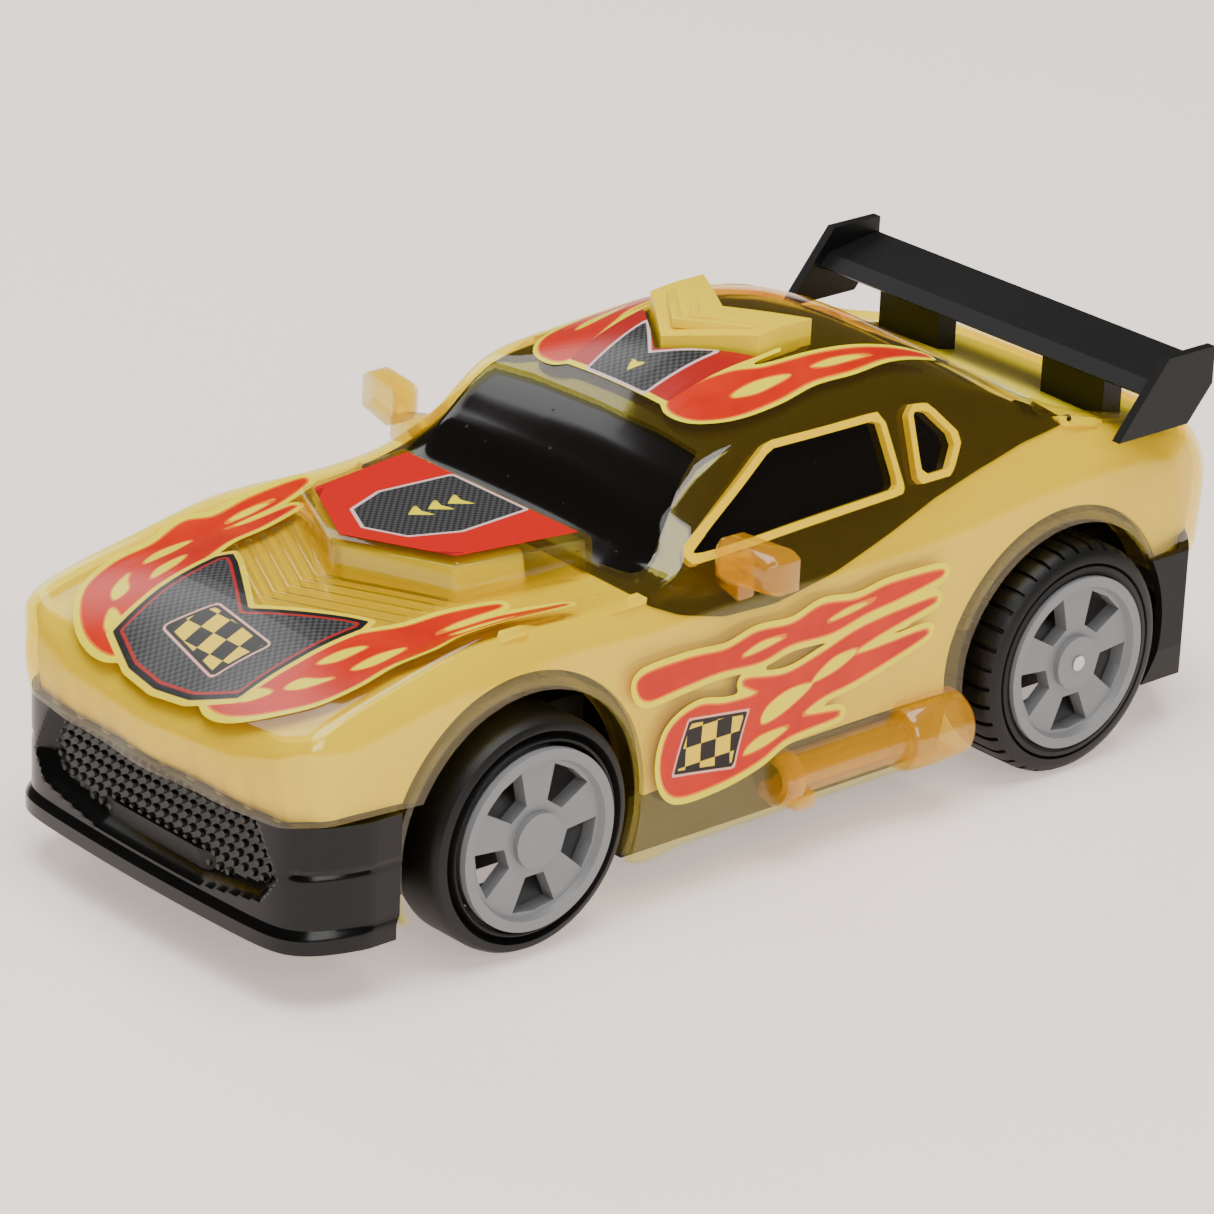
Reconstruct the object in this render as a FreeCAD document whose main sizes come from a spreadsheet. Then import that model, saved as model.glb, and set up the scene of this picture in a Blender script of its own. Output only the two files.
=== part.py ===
"""Pull back toy car. Millimetres, +Z up, the car faces -Y, its left side is +X.

The origin lies on the ground, on the car's middle plane, halfway between the two axles.
"""

import FreeCAD, Part
import math
import os
import re
import Sketcher
from FreeCAD import Placement, Rotation, Vector

SIZES = {
    # overall
    "wheelbase": 108.0,
    "front_overhang": 42.5,
    "rear_overhang": 42.5,
    "body_width": 72.0,
    "sill_height": 8.5,
    "roof_top_width": 53.0,
    "roof_edge_height": 64.0,
    "roof_crown_radius": 40.1,
    "shoulder_width": 67.0,
    "shoulder_height": 48.0,
    "flank_height": 37.0,
    "flank_foot_height": 14.0,
    "sill_tuck": 1.0,
    # side outline of the body, lengths measured from the nearer axle
    "nose_tuck": 2.0,
    "nose_lip_height": 28.0,
    "nose_top_setback": 2.0,
    "nose_top_height": 37.5,
    "hood_front_reach": 21.5,
    "hood_front_height": 46.5,
    "hood_crest_height": 49.7,
    "cowl_reach": 24.0,
    "cowl_height": 50.5,
    "screen_top_reach": 42.4,
    "screen_top_height": 64.8,
    "roof_radius": 60.7,
    "roof_height": 72.3,
    "roof_peak_reach": 71.6,
    "deck_reach": 5.0,
    "deck_height": 55.5,
    "deck_end_reach": 28.0,
    "deck_end_height": 50.0,
    "tail_top_setback": 6.0,
    "tail_top_height": 46.0,
    "tail_lip_height": 38.0,
    "nose_depth": 19.0,
    "tail_depth": 16.0,
    "reach": 150.0,
    # layers of the body, from the outside in
    "sticker_thickness": 0.15,
    "shell_wall": 1.5,
    "layer_gap": 0.2,
    "liner_wall": 1.2,
    "pane_recess": 0.8,
    "pane_clearance": 0.15,
    "liner_foot": 17.5,
    # hood scoop
    "scoop_rear_reach": 23.5,
    "scoop_front_reach": 1.0,
    "scoop_apex": 9.0,
    "scoop_rear_half": 21.4,
    "scoop_front_half": 17.8,
    "scoop_height": 53.7,
    # openings for the panes, heights in front view and lengths from the front axle
    "screen_setback": 0.5,
    "cabin_overrun": 3.0,
    "screen_low": 50.6,
    "screen_low_half": 29.5,
    "screen_high": 63.0,
    "screen_high_half": 24.0,
    "door_front_low": 41.2,
    "door_front_high": 51.1,
    "door_rear": 74.8,
    "window_low": 51.8,
    "window_high": 62.4,
    "quarter_front": 79.8,
    "quarter_top_rear": 83.0,
    "quarter_mid_rear": 87.7,
    "quarter_mid_height": 56.6,
    "quarter_low_rear": 84.4,
    # bumpers
    "bumper_joint_front": 26.3,
    "bumper_joint_rear": 30.0,
    "bumper_reach": 15.0,
    "bumper_gap": 0.2,
    # wheels and axles
    "tyre_radius": 18.5,
    "tyre_width": 13.0,
    "tyre_shoulder": 1.2,
    "tyre_setback": 0.5,
    "rim_radius": 13.8,
    "rim_seat_radius": 13.0,
    "rim_wall": 1.3,
    "rim_lip": 1.2,
    "rim_face": 39.0,
    "hub_radius": 4.2,
    "hub_cap": 1.6,
    "disc_thickness": 2.4,
    "disc_recess": 1.0,
    "spoke_count": 5.0,
    "window_inner_radius": 5.6,
    "window_outer_radius": 10.6,
    "window_inner_half": 1.7,
    "window_outer_half": 3.9,
    "axle_radius": 1.2,
    "axle_stub": 0.3,
    "running_clearance": 0.06,
    "rear_bore_clearance": 0.5,
    "arch_radius": 21.6,
    "liner_arch_extra": 1.4,
    "well_face": 22.4,
    "well_half_length": 22.0,
    # chassis
    "floor_low": 7.0,
    "floor_thickness": 2.0,
    "chassis_wall": 1.8,
    "chassis_wall_top": 17.0,
    "well_wall": 1.5,
    "well_wall_top": 30.0,
    "bearing_inner": 14.0,
    "bearing_outer": 19.0,
    "bearing_half_length": 4.0,
    "bearing_top": 24.0,
    "post_side": 14.0,
    "post_setback": 13.0,
    "post_radius": 3.0,
    "screw_radius": 1.0,
    "screw_length": 9.0,
    "screw_head_radius": 2.0,
    "screw_head_height": 1.2,
    "screw_clearance": 0.2,
    "shank_clearance": 0.1,
    # battery compartment
    "cell_radius": 5.8,
    "cell_height": 5.4,
    "cell_spacing": 12.2,
    "cell_clearance": 0.4,
    "battery_reach": 44.0,
    "door_thickness": 1.6,
    "door_clearance": 0.25,
    "door_tab": 8.0,
    "tab_margin": 0.5,
    "contact_thickness": 0.4,
    "box_wall": 1.2,
    # motor
    "gear_module": 0.6,
    "axle_teeth": 10.0,
    "transfer_teeth": 22.0,
    "pinion_teeth": 10.0,
    "winding_teeth": 26.0,
    "addendum": 0.8,
    "dedendum": 1.25,
    "backlash": 0.16,
    "winding_rise": 30.0,
    "gear_width": 3.0,
    "gear_stage": 3.6,
    "gear_side_gap": 0.5,
    "shaft_radius": 1.0,
    "gear_clearance": 0.6,
    "case_wall": 1.2,
    "spring_width": 3.6,
    "spring_leaf": 0.4,
    "spring_inner": 2.0,
    "spring_outer": 7.6,
    "spring_turns": 4.0,
    "lug_length": 6.0,
    "lug_thickness": 1.6,
    "lug_height": 14.0,
    # light unit and roof button
    "button_front": 63.0,
    "button_rear": 73.7,
    "button_half": 12.0,
    "button_apex": 8.5,
    "button_notch": 7.0,
    "button_rise": 1.2,
    "button_clearance": 0.35,
    "button_seat": 1.4,
    "flange_width": 1.5,
    "flange_thickness": 1.2,
    "stem_setback": 1.5,
    "button_travel": 2.0,
    "stem_radius": 2.0,
    "board_height": 52.0,
    "board_thickness": 1.2,
    "board_half_width": 13.0,
    "board_half_length": 7.0,
    "carrier_wall": 1.5,
    "carrier_half_width": 16.5,
    "switch_half": 3.0,
    "switch_height": 3.4,
    "plunger_radius": 1.4,
    "plunger_rise": 3.0,
    "plunger_seat": 0.6,
    "plunger_clearance": 0.1,
    "plunger_floor_gap": 0.4,
    "coil_radius": 5.2,
    "coil_wire": 0.3,
    "coil_turns": 5.0,
    "lamp_radius": 1.5,
    "lamp_height": 3.6,
    "lamp_side": 9.5,
    # spoiler, heights above the ground, lengths from the rear axle
    "wing_half": 36.2,
    "wing_front": 13.5,
    "wing_rear": 26.0,
    "wing_low": 57.0,
    "wing_high": 61.6,
    "wing_nose_rise": 1.2,
    "wing_nose_run": 2.0,
    "wing_nose_depth": 3.0,
    "wing_edge": 1.4,
    "wing_bite": 1.5,
    "plate_thickness": 1.6,
    "plate_chamfer": 6.0,
    "plate_top": 64.0,
    "plate_low": 52.4,
    "plate_front": 6.8,
    "plate_top_front": 16.5,
    "plate_top_rear": 26.6,
    "plate_low_rear": 21.7,
    "spoiler_post_inner": 11.5,
    "spoiler_post_outer": 24.9,
    "spoiler_post_front": 16.4,
    "spoiler_post_rear": 20.4,
    "socket_depth": 1.0,
    "socket_clearance": 0.1,
    # mirrors, lengths from the front axle
    "mirror_front": 31.5,
    "mirror_rear": 38.0,
    "mirror_inner": 35.4,
    "mirror_outer": 47.2,
    "mirror_low": 49.2,
    "mirror_high": 56.2,
    "mirror_foot_low": 46.0,
    "mirror_foot_high": 50.0,
    "mirror_bite": 1.0,
    "mirror_root": 2.0,
    "mirror_undercut": 2.5,
    "mirror_rise": 0.5,
    "mirror_fall": 1.0,
    # small allowances used in one place each
    "arrow_spread": 1.2,  # how far a slanted edge moves along the car for each mm of offset
    "pipe_overrun": 1.0,
    "hood_badge_notch": 8.0,
    "side_sticker_slant": 2.0,
    "screw_tip_gap": 1.0,
    "screw_recess_depth": 3.0,
    "rim_round": 0.5,
    "rim_back_setback": 1.0,
    "contact_share": 0.6,
    # side pipes, lengths from the front axle
    "pipe_side": 34.8,
    "pipe_height": 13.4,
    "pipe_radius": 3.4,
    "pipe_collar_radius": 4.2,
    "pipe_tip_radius": 5.4,
    "pipe_tip_bore": 4.3,
    "pipe_start": 50.6,
    "pipe_collar_length": 3.6,
    "pipe_tip_start": 73.7,
    "pipe_end": 86.0,
    # stickers
    "hood_sticker_half": 30.0,
    "hood_sticker_front": 35.0,
    "hood_sticker_rear": 4.0,
    "roof_sticker_front": 46.0,
    "roof_sticker_rear": 88.0,
    "roof_sticker_half": 19.0,
    "side_sticker_front": 20.0,
    "side_sticker_rear": 80.5,
    "side_sticker_low": 17.5,
    "side_sticker_high": 36.5,
    "sticker_margin": 1.2,
}

FRONT = "(-wheelbase / 2)"
REAR = "(wheelbase / 2)"
NOSE = "(-wheelbase / 2 - front_overhang)"
TAIL = "(wheelbase / 2 + rear_overhang)"
FLOOR = "(floor_low + floor_thickness)"
SHELL_INSIDE = "shell_wall"
LINER_OUTSIDE = "(shell_wall + layer_gap)"
LINER_INSIDE = "(shell_wall + layer_gap + liner_wall)"
CHASSIS_OUTSIDE = "(shell_wall + layer_gap + liner_wall + layer_gap)"

SIDE_VIEW = Rotation(Vector(1, 1, 1), 120)
FRONT_VIEW = Rotation(Vector(1, 0, 0), 90)
TOP_VIEW = Rotation()

doc = FreeCAD.newDocument("PullBackCar")
sheet = doc.addObject("Spreadsheet::Sheet", "Sizes")
for row, (alias, value) in enumerate(SIZES.items(), start=1):
    sheet.set(f"A{row}", alias.replace("_", " "))
    sheet.set(f"B{row}", str(value))
    sheet.setAlias(f"B{row}", alias)
doc.recompute()

nodes = {}


def formula(text):
    """Adds the sheet's name to each alias in a formula."""
    return re.sub(r"[a-z_]{3,}", lambda word: prefixed(word.group()), text)


def prefixed(word):
    return f"Sizes.{word}" if word in SIZES else word


def bind(item, **formulas):
    """Ties properties to the sheet. Two underscores in a name stand for a dot."""
    for name, text in formulas.items():
        item.setExpression(name.replace("__", "."), formula(text))


def keep(name, item):
    """Makes item the sub-part called name."""
    item.Label = name
    nodes[name] = item
    return item


def box(name, x, y, z):
    """A block between two formulas along each axis."""
    item = doc.addObject("Part::Box", name)
    for side, low_high, letter in zip(("Length", "Width", "Height"), (x, y, z), "xyz"):
        low, high = low_high
        bind(item, **{side: f"({high}) - ({low})", f"Placement__Base__{letter}": low})
    return item


def rod(name, axis, centre, radius, length):
    """A cylinder that starts at centre and runs along axis."""
    item = doc.addObject("Part::Cylinder", name)
    item.Placement = Placement(Vector(), Rotation(Vector(0, 0, 1), axis))
    bind(item, Radius=radius, Height=length)
    for letter, text in zip("xyz", centre):
        bind(item, **{f"Placement__Base__{letter}": text})
    return item


def outline(name, view, points, arcs=()):
    """A closed outline through points. arcs names the sides that are arcs, with their radii."""
    sketch = doc.addObject("Sketcher::SketchObject", name)
    sketch.Placement = Placement(Vector(), view)
    draw(sketch, points, dict(arcs))
    return sketch


def number(text):
    """The value of a formula at the sheet's present sizes."""
    result = sheet.evalExpression(formula(text))
    return float(getattr(result, "Value", result))


def draw(sketch, points, arcs):
    """Draws the outline with every corner tied to the sheet. An arc bulges outwards."""
    corners = [Vector(number(x), number(y), 0) for x, y in points]
    total = len(corners)
    middle = sum(corners, Vector()) / total
    for i, corner in enumerate(corners):
        after = corners[(i + 1) % total]
        if i in arcs:
            radius = number(arcs[i])
            chord = after - corner
            rise = radius - math.sqrt(max(radius**2 - chord.Length**2 / 4, 0))
            away = Vector(chord.y, -chord.x, 0).normalize()
            half_way = (corner + after) / 2
            if away.dot(half_way - middle) < 0:
                away = -away
            sketch.addGeometry(Part.Arc(corner, half_way + away * rise, after))
        else:
            sketch.addGeometry(Part.LineSegment(corner, after))
    ends = [side_ends(sketch.Geometry[i], corners[i]) for i in range(total)]
    for i in range(total):
        j = (i + 1) % total
        sketch.addConstraint(Sketcher.Constraint("Coincident", i, ends[i][1], j, ends[j][0]))
    for i, place in enumerate(points):
        for kind, text in zip(("DistanceX", "DistanceY"), place):
            rule = Sketcher.Constraint(kind, -1, 1, i, ends[i][0], number(text))
            bind(sketch, **{f"Constraints[{sketch.addConstraint(rule)}]": text})
        if i in arcs:
            rule = Sketcher.Constraint("Radius", i, number(arcs[i]))
            bind(sketch, **{f"Constraints[{sketch.addConstraint(rule)}]": arcs[i]})


def side_ends(side, corner):
    """The numbers of a side's two ends, with the one that lies on corner first."""
    if side.StartPoint.distanceToPoint(corner) < side.EndPoint.distanceToPoint(corner):
        return 1, 2
    return 2, 1


def extrude(name, base, forward, backward="0"):
    """A solid from an outline, along the outline's normal."""
    item = doc.addObject("Part::Extrusion", name)
    item.Base = base
    item.DirMode = "Normal"
    item.Solid = True
    bind(item, LengthFwd=forward, LengthRev=backward)
    return item


def inset(name, base, amount):
    """The outline moved inwards by amount, or outwards where amount is negative."""
    item = doc.addObject("Part::Offset2D", name)
    item.Source = base
    item.Join = "Intersection"
    bind(item, Value=f"-({amount})")
    return item


def fuse(name, parts):
    item = doc.addObject("Part::MultiFuse", name)
    item.Shapes = parts
    return item


def common(name, parts):
    item = doc.addObject("Part::MultiCommon", name)
    item.Shapes = parts
    return item


def cut(name, base, tools):
    """base less every tool."""
    for i, tool in enumerate(tools):
        item = doc.addObject("Part::Cut", f"{name}_{i}")
        item.Base = base
        item.Tool = tool
        base = item
    return base


def group(name, parts):
    """Separate solids that share one sub-part."""
    item = doc.addObject("Part::Compound", name)
    item.Links = parts
    return item


# ---- The body's outer form: what its side, top and front outlines have in common ----

side_outline = outline(
    "side_outline",
    SIDE_VIEW,
    [
        (f"{NOSE} + nose_tuck", "-reach"),
        (f"{NOSE} + nose_tuck", "sill_height"),
        (NOSE, "nose_lip_height"),
        (f"{NOSE} + nose_top_setback", "nose_top_height"),
        (f"{FRONT} - hood_front_reach", "hood_front_height"),
        (FRONT, "hood_crest_height"),
        (f"{FRONT} + cowl_reach", "cowl_height"),
        (f"{FRONT} + screen_top_reach", "screen_top_height"),
        (f"{REAR} + deck_reach", "deck_height"),
        (f"{REAR} + deck_end_reach", "deck_end_height"),
        (f"{TAIL} - tail_top_setback", "tail_top_height"),
        (TAIL, "tail_lip_height"),
        (TAIL, "-reach"),
    ],
)
NOSE_RADIUS = "(body_width ^ 2 / 8 / nose_depth + nose_depth / 2)"
TAIL_RADIUS = "(body_width ^ 2 / 8 / tail_depth + tail_depth / 2)"
top_outline = outline(
    "top_outline",
    TOP_VIEW,
    [
        ("-body_width / 2", f"{NOSE} + nose_depth"),
        ("body_width / 2", f"{NOSE} + nose_depth"),
        ("body_width / 2", f"{TAIL} - tail_depth"),
        ("-body_width / 2", f"{TAIL} - tail_depth"),
    ],
    arcs={0: NOSE_RADIUS, 2: TAIL_RADIUS},
)
front_outline = outline(
    "front_outline",
    FRONT_VIEW,
    [
        ("-body_width / 2 + sill_tuck", "-reach"),
        ("body_width / 2 - sill_tuck", "-reach"),
        ("body_width / 2 - sill_tuck", "sill_height"),
        ("body_width / 2", "flank_foot_height"),
        ("body_width / 2", "flank_height"),
        ("shoulder_width / 2", "shoulder_height"),
        ("roof_top_width / 2", "roof_edge_height"),
        ("-roof_top_width / 2", "roof_edge_height"),
        ("-shoulder_width / 2", "shoulder_height"),
        ("-body_width / 2", "flank_height"),
        ("-body_width / 2", "flank_foot_height"),
        ("-body_width / 2 + sill_tuck", "sill_height"),
    ],
    arcs={6: "roof_crown_radius"},
)
scoop_outline = outline(
    "scoop_outline",
    TOP_VIEW,
    [
        ("-scoop_rear_half", f"{FRONT} + scoop_rear_reach"),
        ("-scoop_front_half", f"{FRONT} + scoop_front_reach"),
        ("0", f"{FRONT} + scoop_front_reach - scoop_apex"),
        ("scoop_front_half", f"{FRONT} + scoop_front_reach"),
        ("scoop_rear_half", f"{FRONT} + scoop_rear_reach"),
    ],
)


def body_form(name, depth="0"):
    """The body's outer form as one solid, moved in by depth. Its underside is left open-ended."""
    outlines = [side_outline, top_outline, front_outline, scoop_outline]
    if depth != "0":
        outlines = [inset(f"{name}_{base.Name}", base, depth) for base in outlines]
    side, top, front = [
        extrude(f"{name}_{base.Name}_solid", base, "reach", "reach") for base in outlines[:3]
    ]
    roof_centre = ("-reach", f"{FRONT} + roof_peak_reach", "roof_height - roof_radius")
    roof = rod(f"{name}_roof", Vector(1, 0, 0), roof_centre, f"roof_radius - ({depth})", "2 * reach")
    scoop = extrude(f"{name}_scoop", outlines[3], f"scoop_height - ({depth})")
    cabin = common(f"{name}_cabin", [fuse(f"{name}_profile", [side, roof]), top, front])
    return fuse(name, [cabin, scoop])


outer_form = body_form("outer_form")
sticker_form = body_form("sticker_form", "-sticker_thickness")
pane_form = body_form("pane_form", "pane_recess")
shell_inside = body_form("shell_inside", SHELL_INSIDE)
liner_outside = body_form("liner_outside", LINER_OUTSIDE)
liner_inside = body_form("liner_inside", LINER_INSIDE)


# ---- Spaces that several pieces leave free ----


def wheel_spaces(name, radius):
    """The four wheel arches as cylinders, open to the sides."""
    spaces = []
    for end, place in (("front", FRONT), ("rear", REAR)):
        for side, sign in (("left", 1), ("right", -1)):
            start = (f"{sign} * well_face", place, "tyre_radius")
            axis = Vector(sign, 0, 0)
            spaces.append(rod(f"{name}_{end}_{side}", axis, start, radius, "reach"))
    return spaces


arches = wheel_spaces("arch", "arch_radius")
liner_arches = wheel_spaces("liner_arch", "arch_radius + liner_arch_extra")
ALL = ("-reach", "reach")
below_sill = box("below_sill", ALL, ALL, ("-2 * reach", "sill_height"))
FRONT_JOINT = f"{FRONT} - bumper_reach"
REAR_JOINT = f"{REAR} + bumper_reach"


def bumper_space(name, gap):
    """The low nose and the low tail, where the bumpers take the shell's place."""
    nose = box(f"{name}_nose", ALL, ("-reach", FRONT_JOINT), ("-reach", f"bumper_joint_front - {gap}"))
    tail = box(f"{name}_tail", ALL, (REAR_JOINT, "reach"), ("-reach", f"bumper_joint_rear - {gap}"))
    return nose, tail


nose_space, tail_space = bumper_space("bumper_space", "0")
nose_bumper_space, tail_bumper_space = bumper_space("bumper_block", "bumper_gap")

# The screen's opening, seen from the front, and the side windows' openings, seen from the side.


def screen_prism(name, clearance):
    base = outline(
        f"{name}_outline",
        FRONT_VIEW,
        [
            (f"-screen_low_half + {clearance}", f"screen_low + {clearance}"),
            (f"screen_low_half - {clearance}", f"screen_low + {clearance}"),
            (f"screen_high_half - {clearance}", f"screen_high - {clearance}"),
            (f"-screen_high_half + {clearance}", f"screen_high - {clearance}"),
        ],
    )
    near = f"-({FRONT} + scoop_rear_reach + screen_setback)"
    return extrude(name, base, near, f"{FRONT} + cowl_reach * 2")


def door_prism(name, clearance):
    base = outline(
        f"{name}_outline",
        SIDE_VIEW,
        [
            (f"{FRONT} + door_front_low + {clearance}", f"window_low + {clearance}"),
            (f"{FRONT} + door_rear - {clearance}", f"window_low + {clearance}"),
            (f"{FRONT} + door_rear - {clearance}", f"window_high - {clearance}"),
            (f"{FRONT} + door_front_high + {clearance}", f"window_high - {clearance}"),
        ],
    )
    return extrude(name, base, "reach", "reach")


def quarter_prism(name, clearance):
    base = outline(
        f"{name}_outline",
        SIDE_VIEW,
        [
            (f"{FRONT} + quarter_front + {clearance}", f"window_low + {clearance}"),
            (f"{FRONT} + quarter_low_rear - {clearance}", f"window_low + {clearance}"),
            (f"{FRONT} + quarter_mid_rear - {clearance}", "quarter_mid_height"),
            (f"{FRONT} + quarter_top_rear - {clearance}", f"window_high - {clearance}"),
            (f"{FRONT} + quarter_front + {clearance}", f"window_high - {clearance}"),
        ],
    )
    return extrude(name, base, "reach", "reach")


openings = [screen_prism("screen_gap", "0"), door_prism("door_gap", "0"), quarter_prism("quarter_gap", "0")]
panes = [
    screen_prism("screen_pane", "pane_clearance"),
    door_prism("door_pane", "pane_clearance"),
    quarter_prism("quarter_pane", "pane_clearance"),
]

# ---- Roof button: an arrow-shaped block in a slot, with a stem and a flange below ----


def arrow(name, grow, low, high):
    """The button's arrow outline, grown sideways by a formula, between two heights."""
    corner = f"{FRONT} + button_front"
    tail = f"{FRONT} + button_rear"
    half = f"(button_half + {grow})"
    base = outline(
        f"{name}_outline",
        TOP_VIEW,
        [
            (f"-{half}", f"{corner} - {grow}"),
            ("0", f"{corner} - button_apex - {grow} * arrow_spread"),
            (half, f"{corner} - {grow}"),
            (half, f"{tail} + {grow}"),
            ("0", f"{tail} - button_notch + {grow} * arrow_spread"),
            (f"-{half}", f"{tail} + {grow}"),
        ],
    )
    solid = extrude(name, base, f"({high}) - ({low})")
    bind(solid, Placement__Base__z=low)
    return solid


FLANGE_TOP = "(screen_top_height + button_seat)"
BOARD_TOP = "(board_height + board_thickness)"
SWITCH_TOP = "(board_height + board_thickness + switch_height)"
STEM_Y = f"{FRONT} + button_front - stem_setback"
slot = arrow("roof_slot", "button_clearance", FLANGE_TOP, "reach")
raised_form = body_form("raised_form", "-button_rise")
block = common("button_block", [arrow("button_arrow", "0", FLANGE_TOP, "reach"), raised_form])
flange = arrow("button_flange", "flange_width", f"{FLANGE_TOP} - flange_thickness", FLANGE_TOP)
stem_low = f"{SWITCH_TOP} + plunger_rise"
stem = rod(
    "button_stem",
    Vector(0, 0, 1),
    ("0", STEM_Y, stem_low),
    "stem_radius",
    f"{FLANGE_TOP} - flange_thickness / 2 - ({stem_low})",
)
keep("roof_button", fuse("roof_button", [block, flange, stem]))

# ---- Spoiler: a wing with end plates on two posts that stand in recesses of the tail ----

wing_outline = outline(
    "wing_outline",
    SIDE_VIEW,
    [
        (f"{REAR} + wing_front", "wing_low + wing_nose_rise"),
        (f"{REAR} + wing_front + wing_nose_run", "wing_low"),
        (f"{REAR} + wing_rear", "wing_high - wing_edge"),
        (f"{REAR} + wing_rear", "wing_high"),
        (f"{REAR} + wing_front + wing_nose_run", "wing_low + wing_nose_depth"),
    ],
)
plate_outline = outline(
    "plate_outline",
    SIDE_VIEW,
    [
        (f"{REAR} + plate_front", "plate_low"),
        (f"{REAR} + plate_low_rear", "plate_low"),
        (f"{REAR} + plate_top_rear", "plate_top - plate_chamfer"),
        (f"{REAR} + plate_top_rear", "plate_top"),
        (f"{REAR} + plate_top_front", "plate_top"),
    ],
)
wing = extrude("wing", wing_outline, "wing_half", "wing_half")
spoiler_parts = [wing]
post_sockets = []
for side, sign in (("left", 1), ("right", -1)):
    plate = extrude(f"plate_{side}", plate_outline, "plate_thickness")
    start = "wing_half" if sign > 0 else "-wing_half - plate_thickness"
    bind(plate, Placement__Base__x=start)
    spoiler_parts.append(plate)
    inner, outer = f"{sign} * spoiler_post_inner", f"{sign} * spoiler_post_outer"
    across = (inner, outer) if sign > 0 else (outer, inner)
    along = (f"{REAR} + spoiler_post_front", f"{REAR} + spoiler_post_rear")
    rise = ("deck_end_height - socket_depth", "wing_low + wing_bite")
    post = box(f"spoiler_post_{side}", across, along, rise)
    spoiler_parts.append(post)
    grown_across = (f"{across[0]} - socket_clearance", f"{across[1]} + socket_clearance")
    grown_along = (f"{along[0]} - socket_clearance", f"{along[1]} + socket_clearance")
    socket_height = ("deck_end_height - socket_depth", "wing_low")
    post_sockets.append(box(f"post_socket_{side}", grown_across, grown_along, socket_height))
whole_spoiler = fuse("spoiler_whole", spoiler_parts)
keep("spoiler", whole_spoiler)

# ---- Shell, liner, window insert and bumpers ----

CABIN_FRONT = f"{FRONT} + cowl_reach - screen_setback"
CABIN_REAR = f"{REAR} + deck_reach + cabin_overrun"
cabin_space = box(
    "cabin_space", ALL, (CABIN_FRONT, CABIN_REAR), ("shoulder_height + layer_gap", "reach")
)
liner_cabin_space = box(
    "liner_cabin_space",
    ALL,
    (f"{CABIN_FRONT} - layer_gap", f"{CABIN_REAR} + layer_gap"),
    ("shoulder_height", "reach"),
)


def side_pipe(side, sign):
    """The half of a side pipe that stands out of the shell: collar, tube and flared tip."""
    centre = f"{sign} * pipe_side"
    along = Vector(0, 1, 0)

    def run(name, start, end, radius):
        place = (centre, f"{FRONT} + {start}", "pipe_height")
        return rod(f"pipe_{name}_{side}", along, place, radius, f"{end} - ({start})")

    solid = fuse(
        f"pipe_solid_{side}",
        [
            run("collar", "pipe_start", "pipe_start + pipe_collar_length", "pipe_collar_radius"),
            run("tube", "pipe_start", "pipe_end", "pipe_radius"),
            run("tip", "pipe_tip_start", "pipe_end", "pipe_tip_radius"),
        ],
    )
    mouth = run("mouth", "pipe_tip_start + shell_wall", "pipe_end + pipe_overrun", "pipe_tip_bore")
    return cut(f"pipe_{side}", solid, [mouth, shell_inside])


pipes = [side_pipe("left", 1), side_pipe("right", -1)]
hollow_shell = cut("shell_hollow", outer_form, [shell_inside])
shell_cuts = [below_sill, nose_space, tail_space, slot, *openings, *post_sockets]
shell = cut("shell_trimmed", hollow_shell, shell_cuts)
keep("body_shell", cut("body_shell", fuse("shell_with_pipes", [shell, *pipes]), arches))


def bumper(name, space):
    layer = common(f"{name}_layer", [hollow_shell, space])
    keep(name, cut(name, layer, [below_sill, *arches]))


bumper("front_bumper", nose_bumper_space)
bumper("rear_bumper", tail_bumper_space)

liner_layer = cut("liner_layer", liner_outside, [liner_inside])
posts = []
post_holes = []
for end, place in (("nose", f"{NOSE} + post_setback"), ("tail", f"{TAIL} - post_setback")):
    for side, sign in (("left", 1), ("right", -1)):
        low = (f"{sign} * post_side", place, f"{FLOOR} + layer_gap")
        up = Vector(0, 0, 1)
        posts.append(rod(f"post_{end}_{side}", up, low, "post_radius", "deck_height"))
        foot = (f"{sign} * post_side", place, "floor_low")
        hole_depth = "screw_head_height + screw_length"
        post_holes.append(rod(f"post_hole_{end}_{side}", up, foot, "screw_radius", hole_depth))
trimmed_posts = common("posts", [fuse("raw_posts", posts), liner_outside])
below_liner = box("below_liner", ALL, ALL, ("-2 * reach", "liner_foot"))
liner_wall = cut("liner_wall", liner_layer, [below_liner, liner_cabin_space])
whole_liner = fuse("liner_whole", [liner_wall, trimmed_posts])
keep("body_liner", cut("body_liner", whole_liner, [*post_holes, *liner_arches, *post_sockets]))

insert_layer = common("insert_layer", [liner_layer, cabin_space])
pane_layer = common(
    "pane_layer", [cut("pane_skin", pane_form, [liner_inside]), fuse("pane_prisms", panes)]
)
insert = fuse("insert_whole", [insert_layer, pane_layer])
keep("window_insert", cut("window_insert", insert, [slot]))

# ---- Door mirrors, glued to the shell ----

for side, sign in (("left", 1), ("right", -1)):
    base = outline(
        f"mirror_outline_{side}",
        FRONT_VIEW,
        [
            (f"{sign} * (shoulder_width / 2 - mirror_bite)", "mirror_foot_low"),
            (f"{sign} * (mirror_inner + mirror_undercut)", "mirror_low"),
            (f"{sign} * mirror_outer", "mirror_low + mirror_rise"),
            (f"{sign} * mirror_outer", "mirror_high - mirror_fall"),
            (f"{sign} * (mirror_inner + mirror_fall)", "mirror_high"),
            (f"{sign} * mirror_inner", "mirror_foot_high"),
            (f"{sign} * (shoulder_width / 2 - mirror_root)", "mirror_foot_high - mirror_fall"),
        ],
    )
    block = extrude(f"mirror_block_{side}", base, f"-({FRONT} + mirror_front)", f"{FRONT} + mirror_rear")
    keep(f"mirror_{side}", cut(f"mirror_{side}", block, [outer_form]))

# ---- Stickers on the shell's outer face ----

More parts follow.
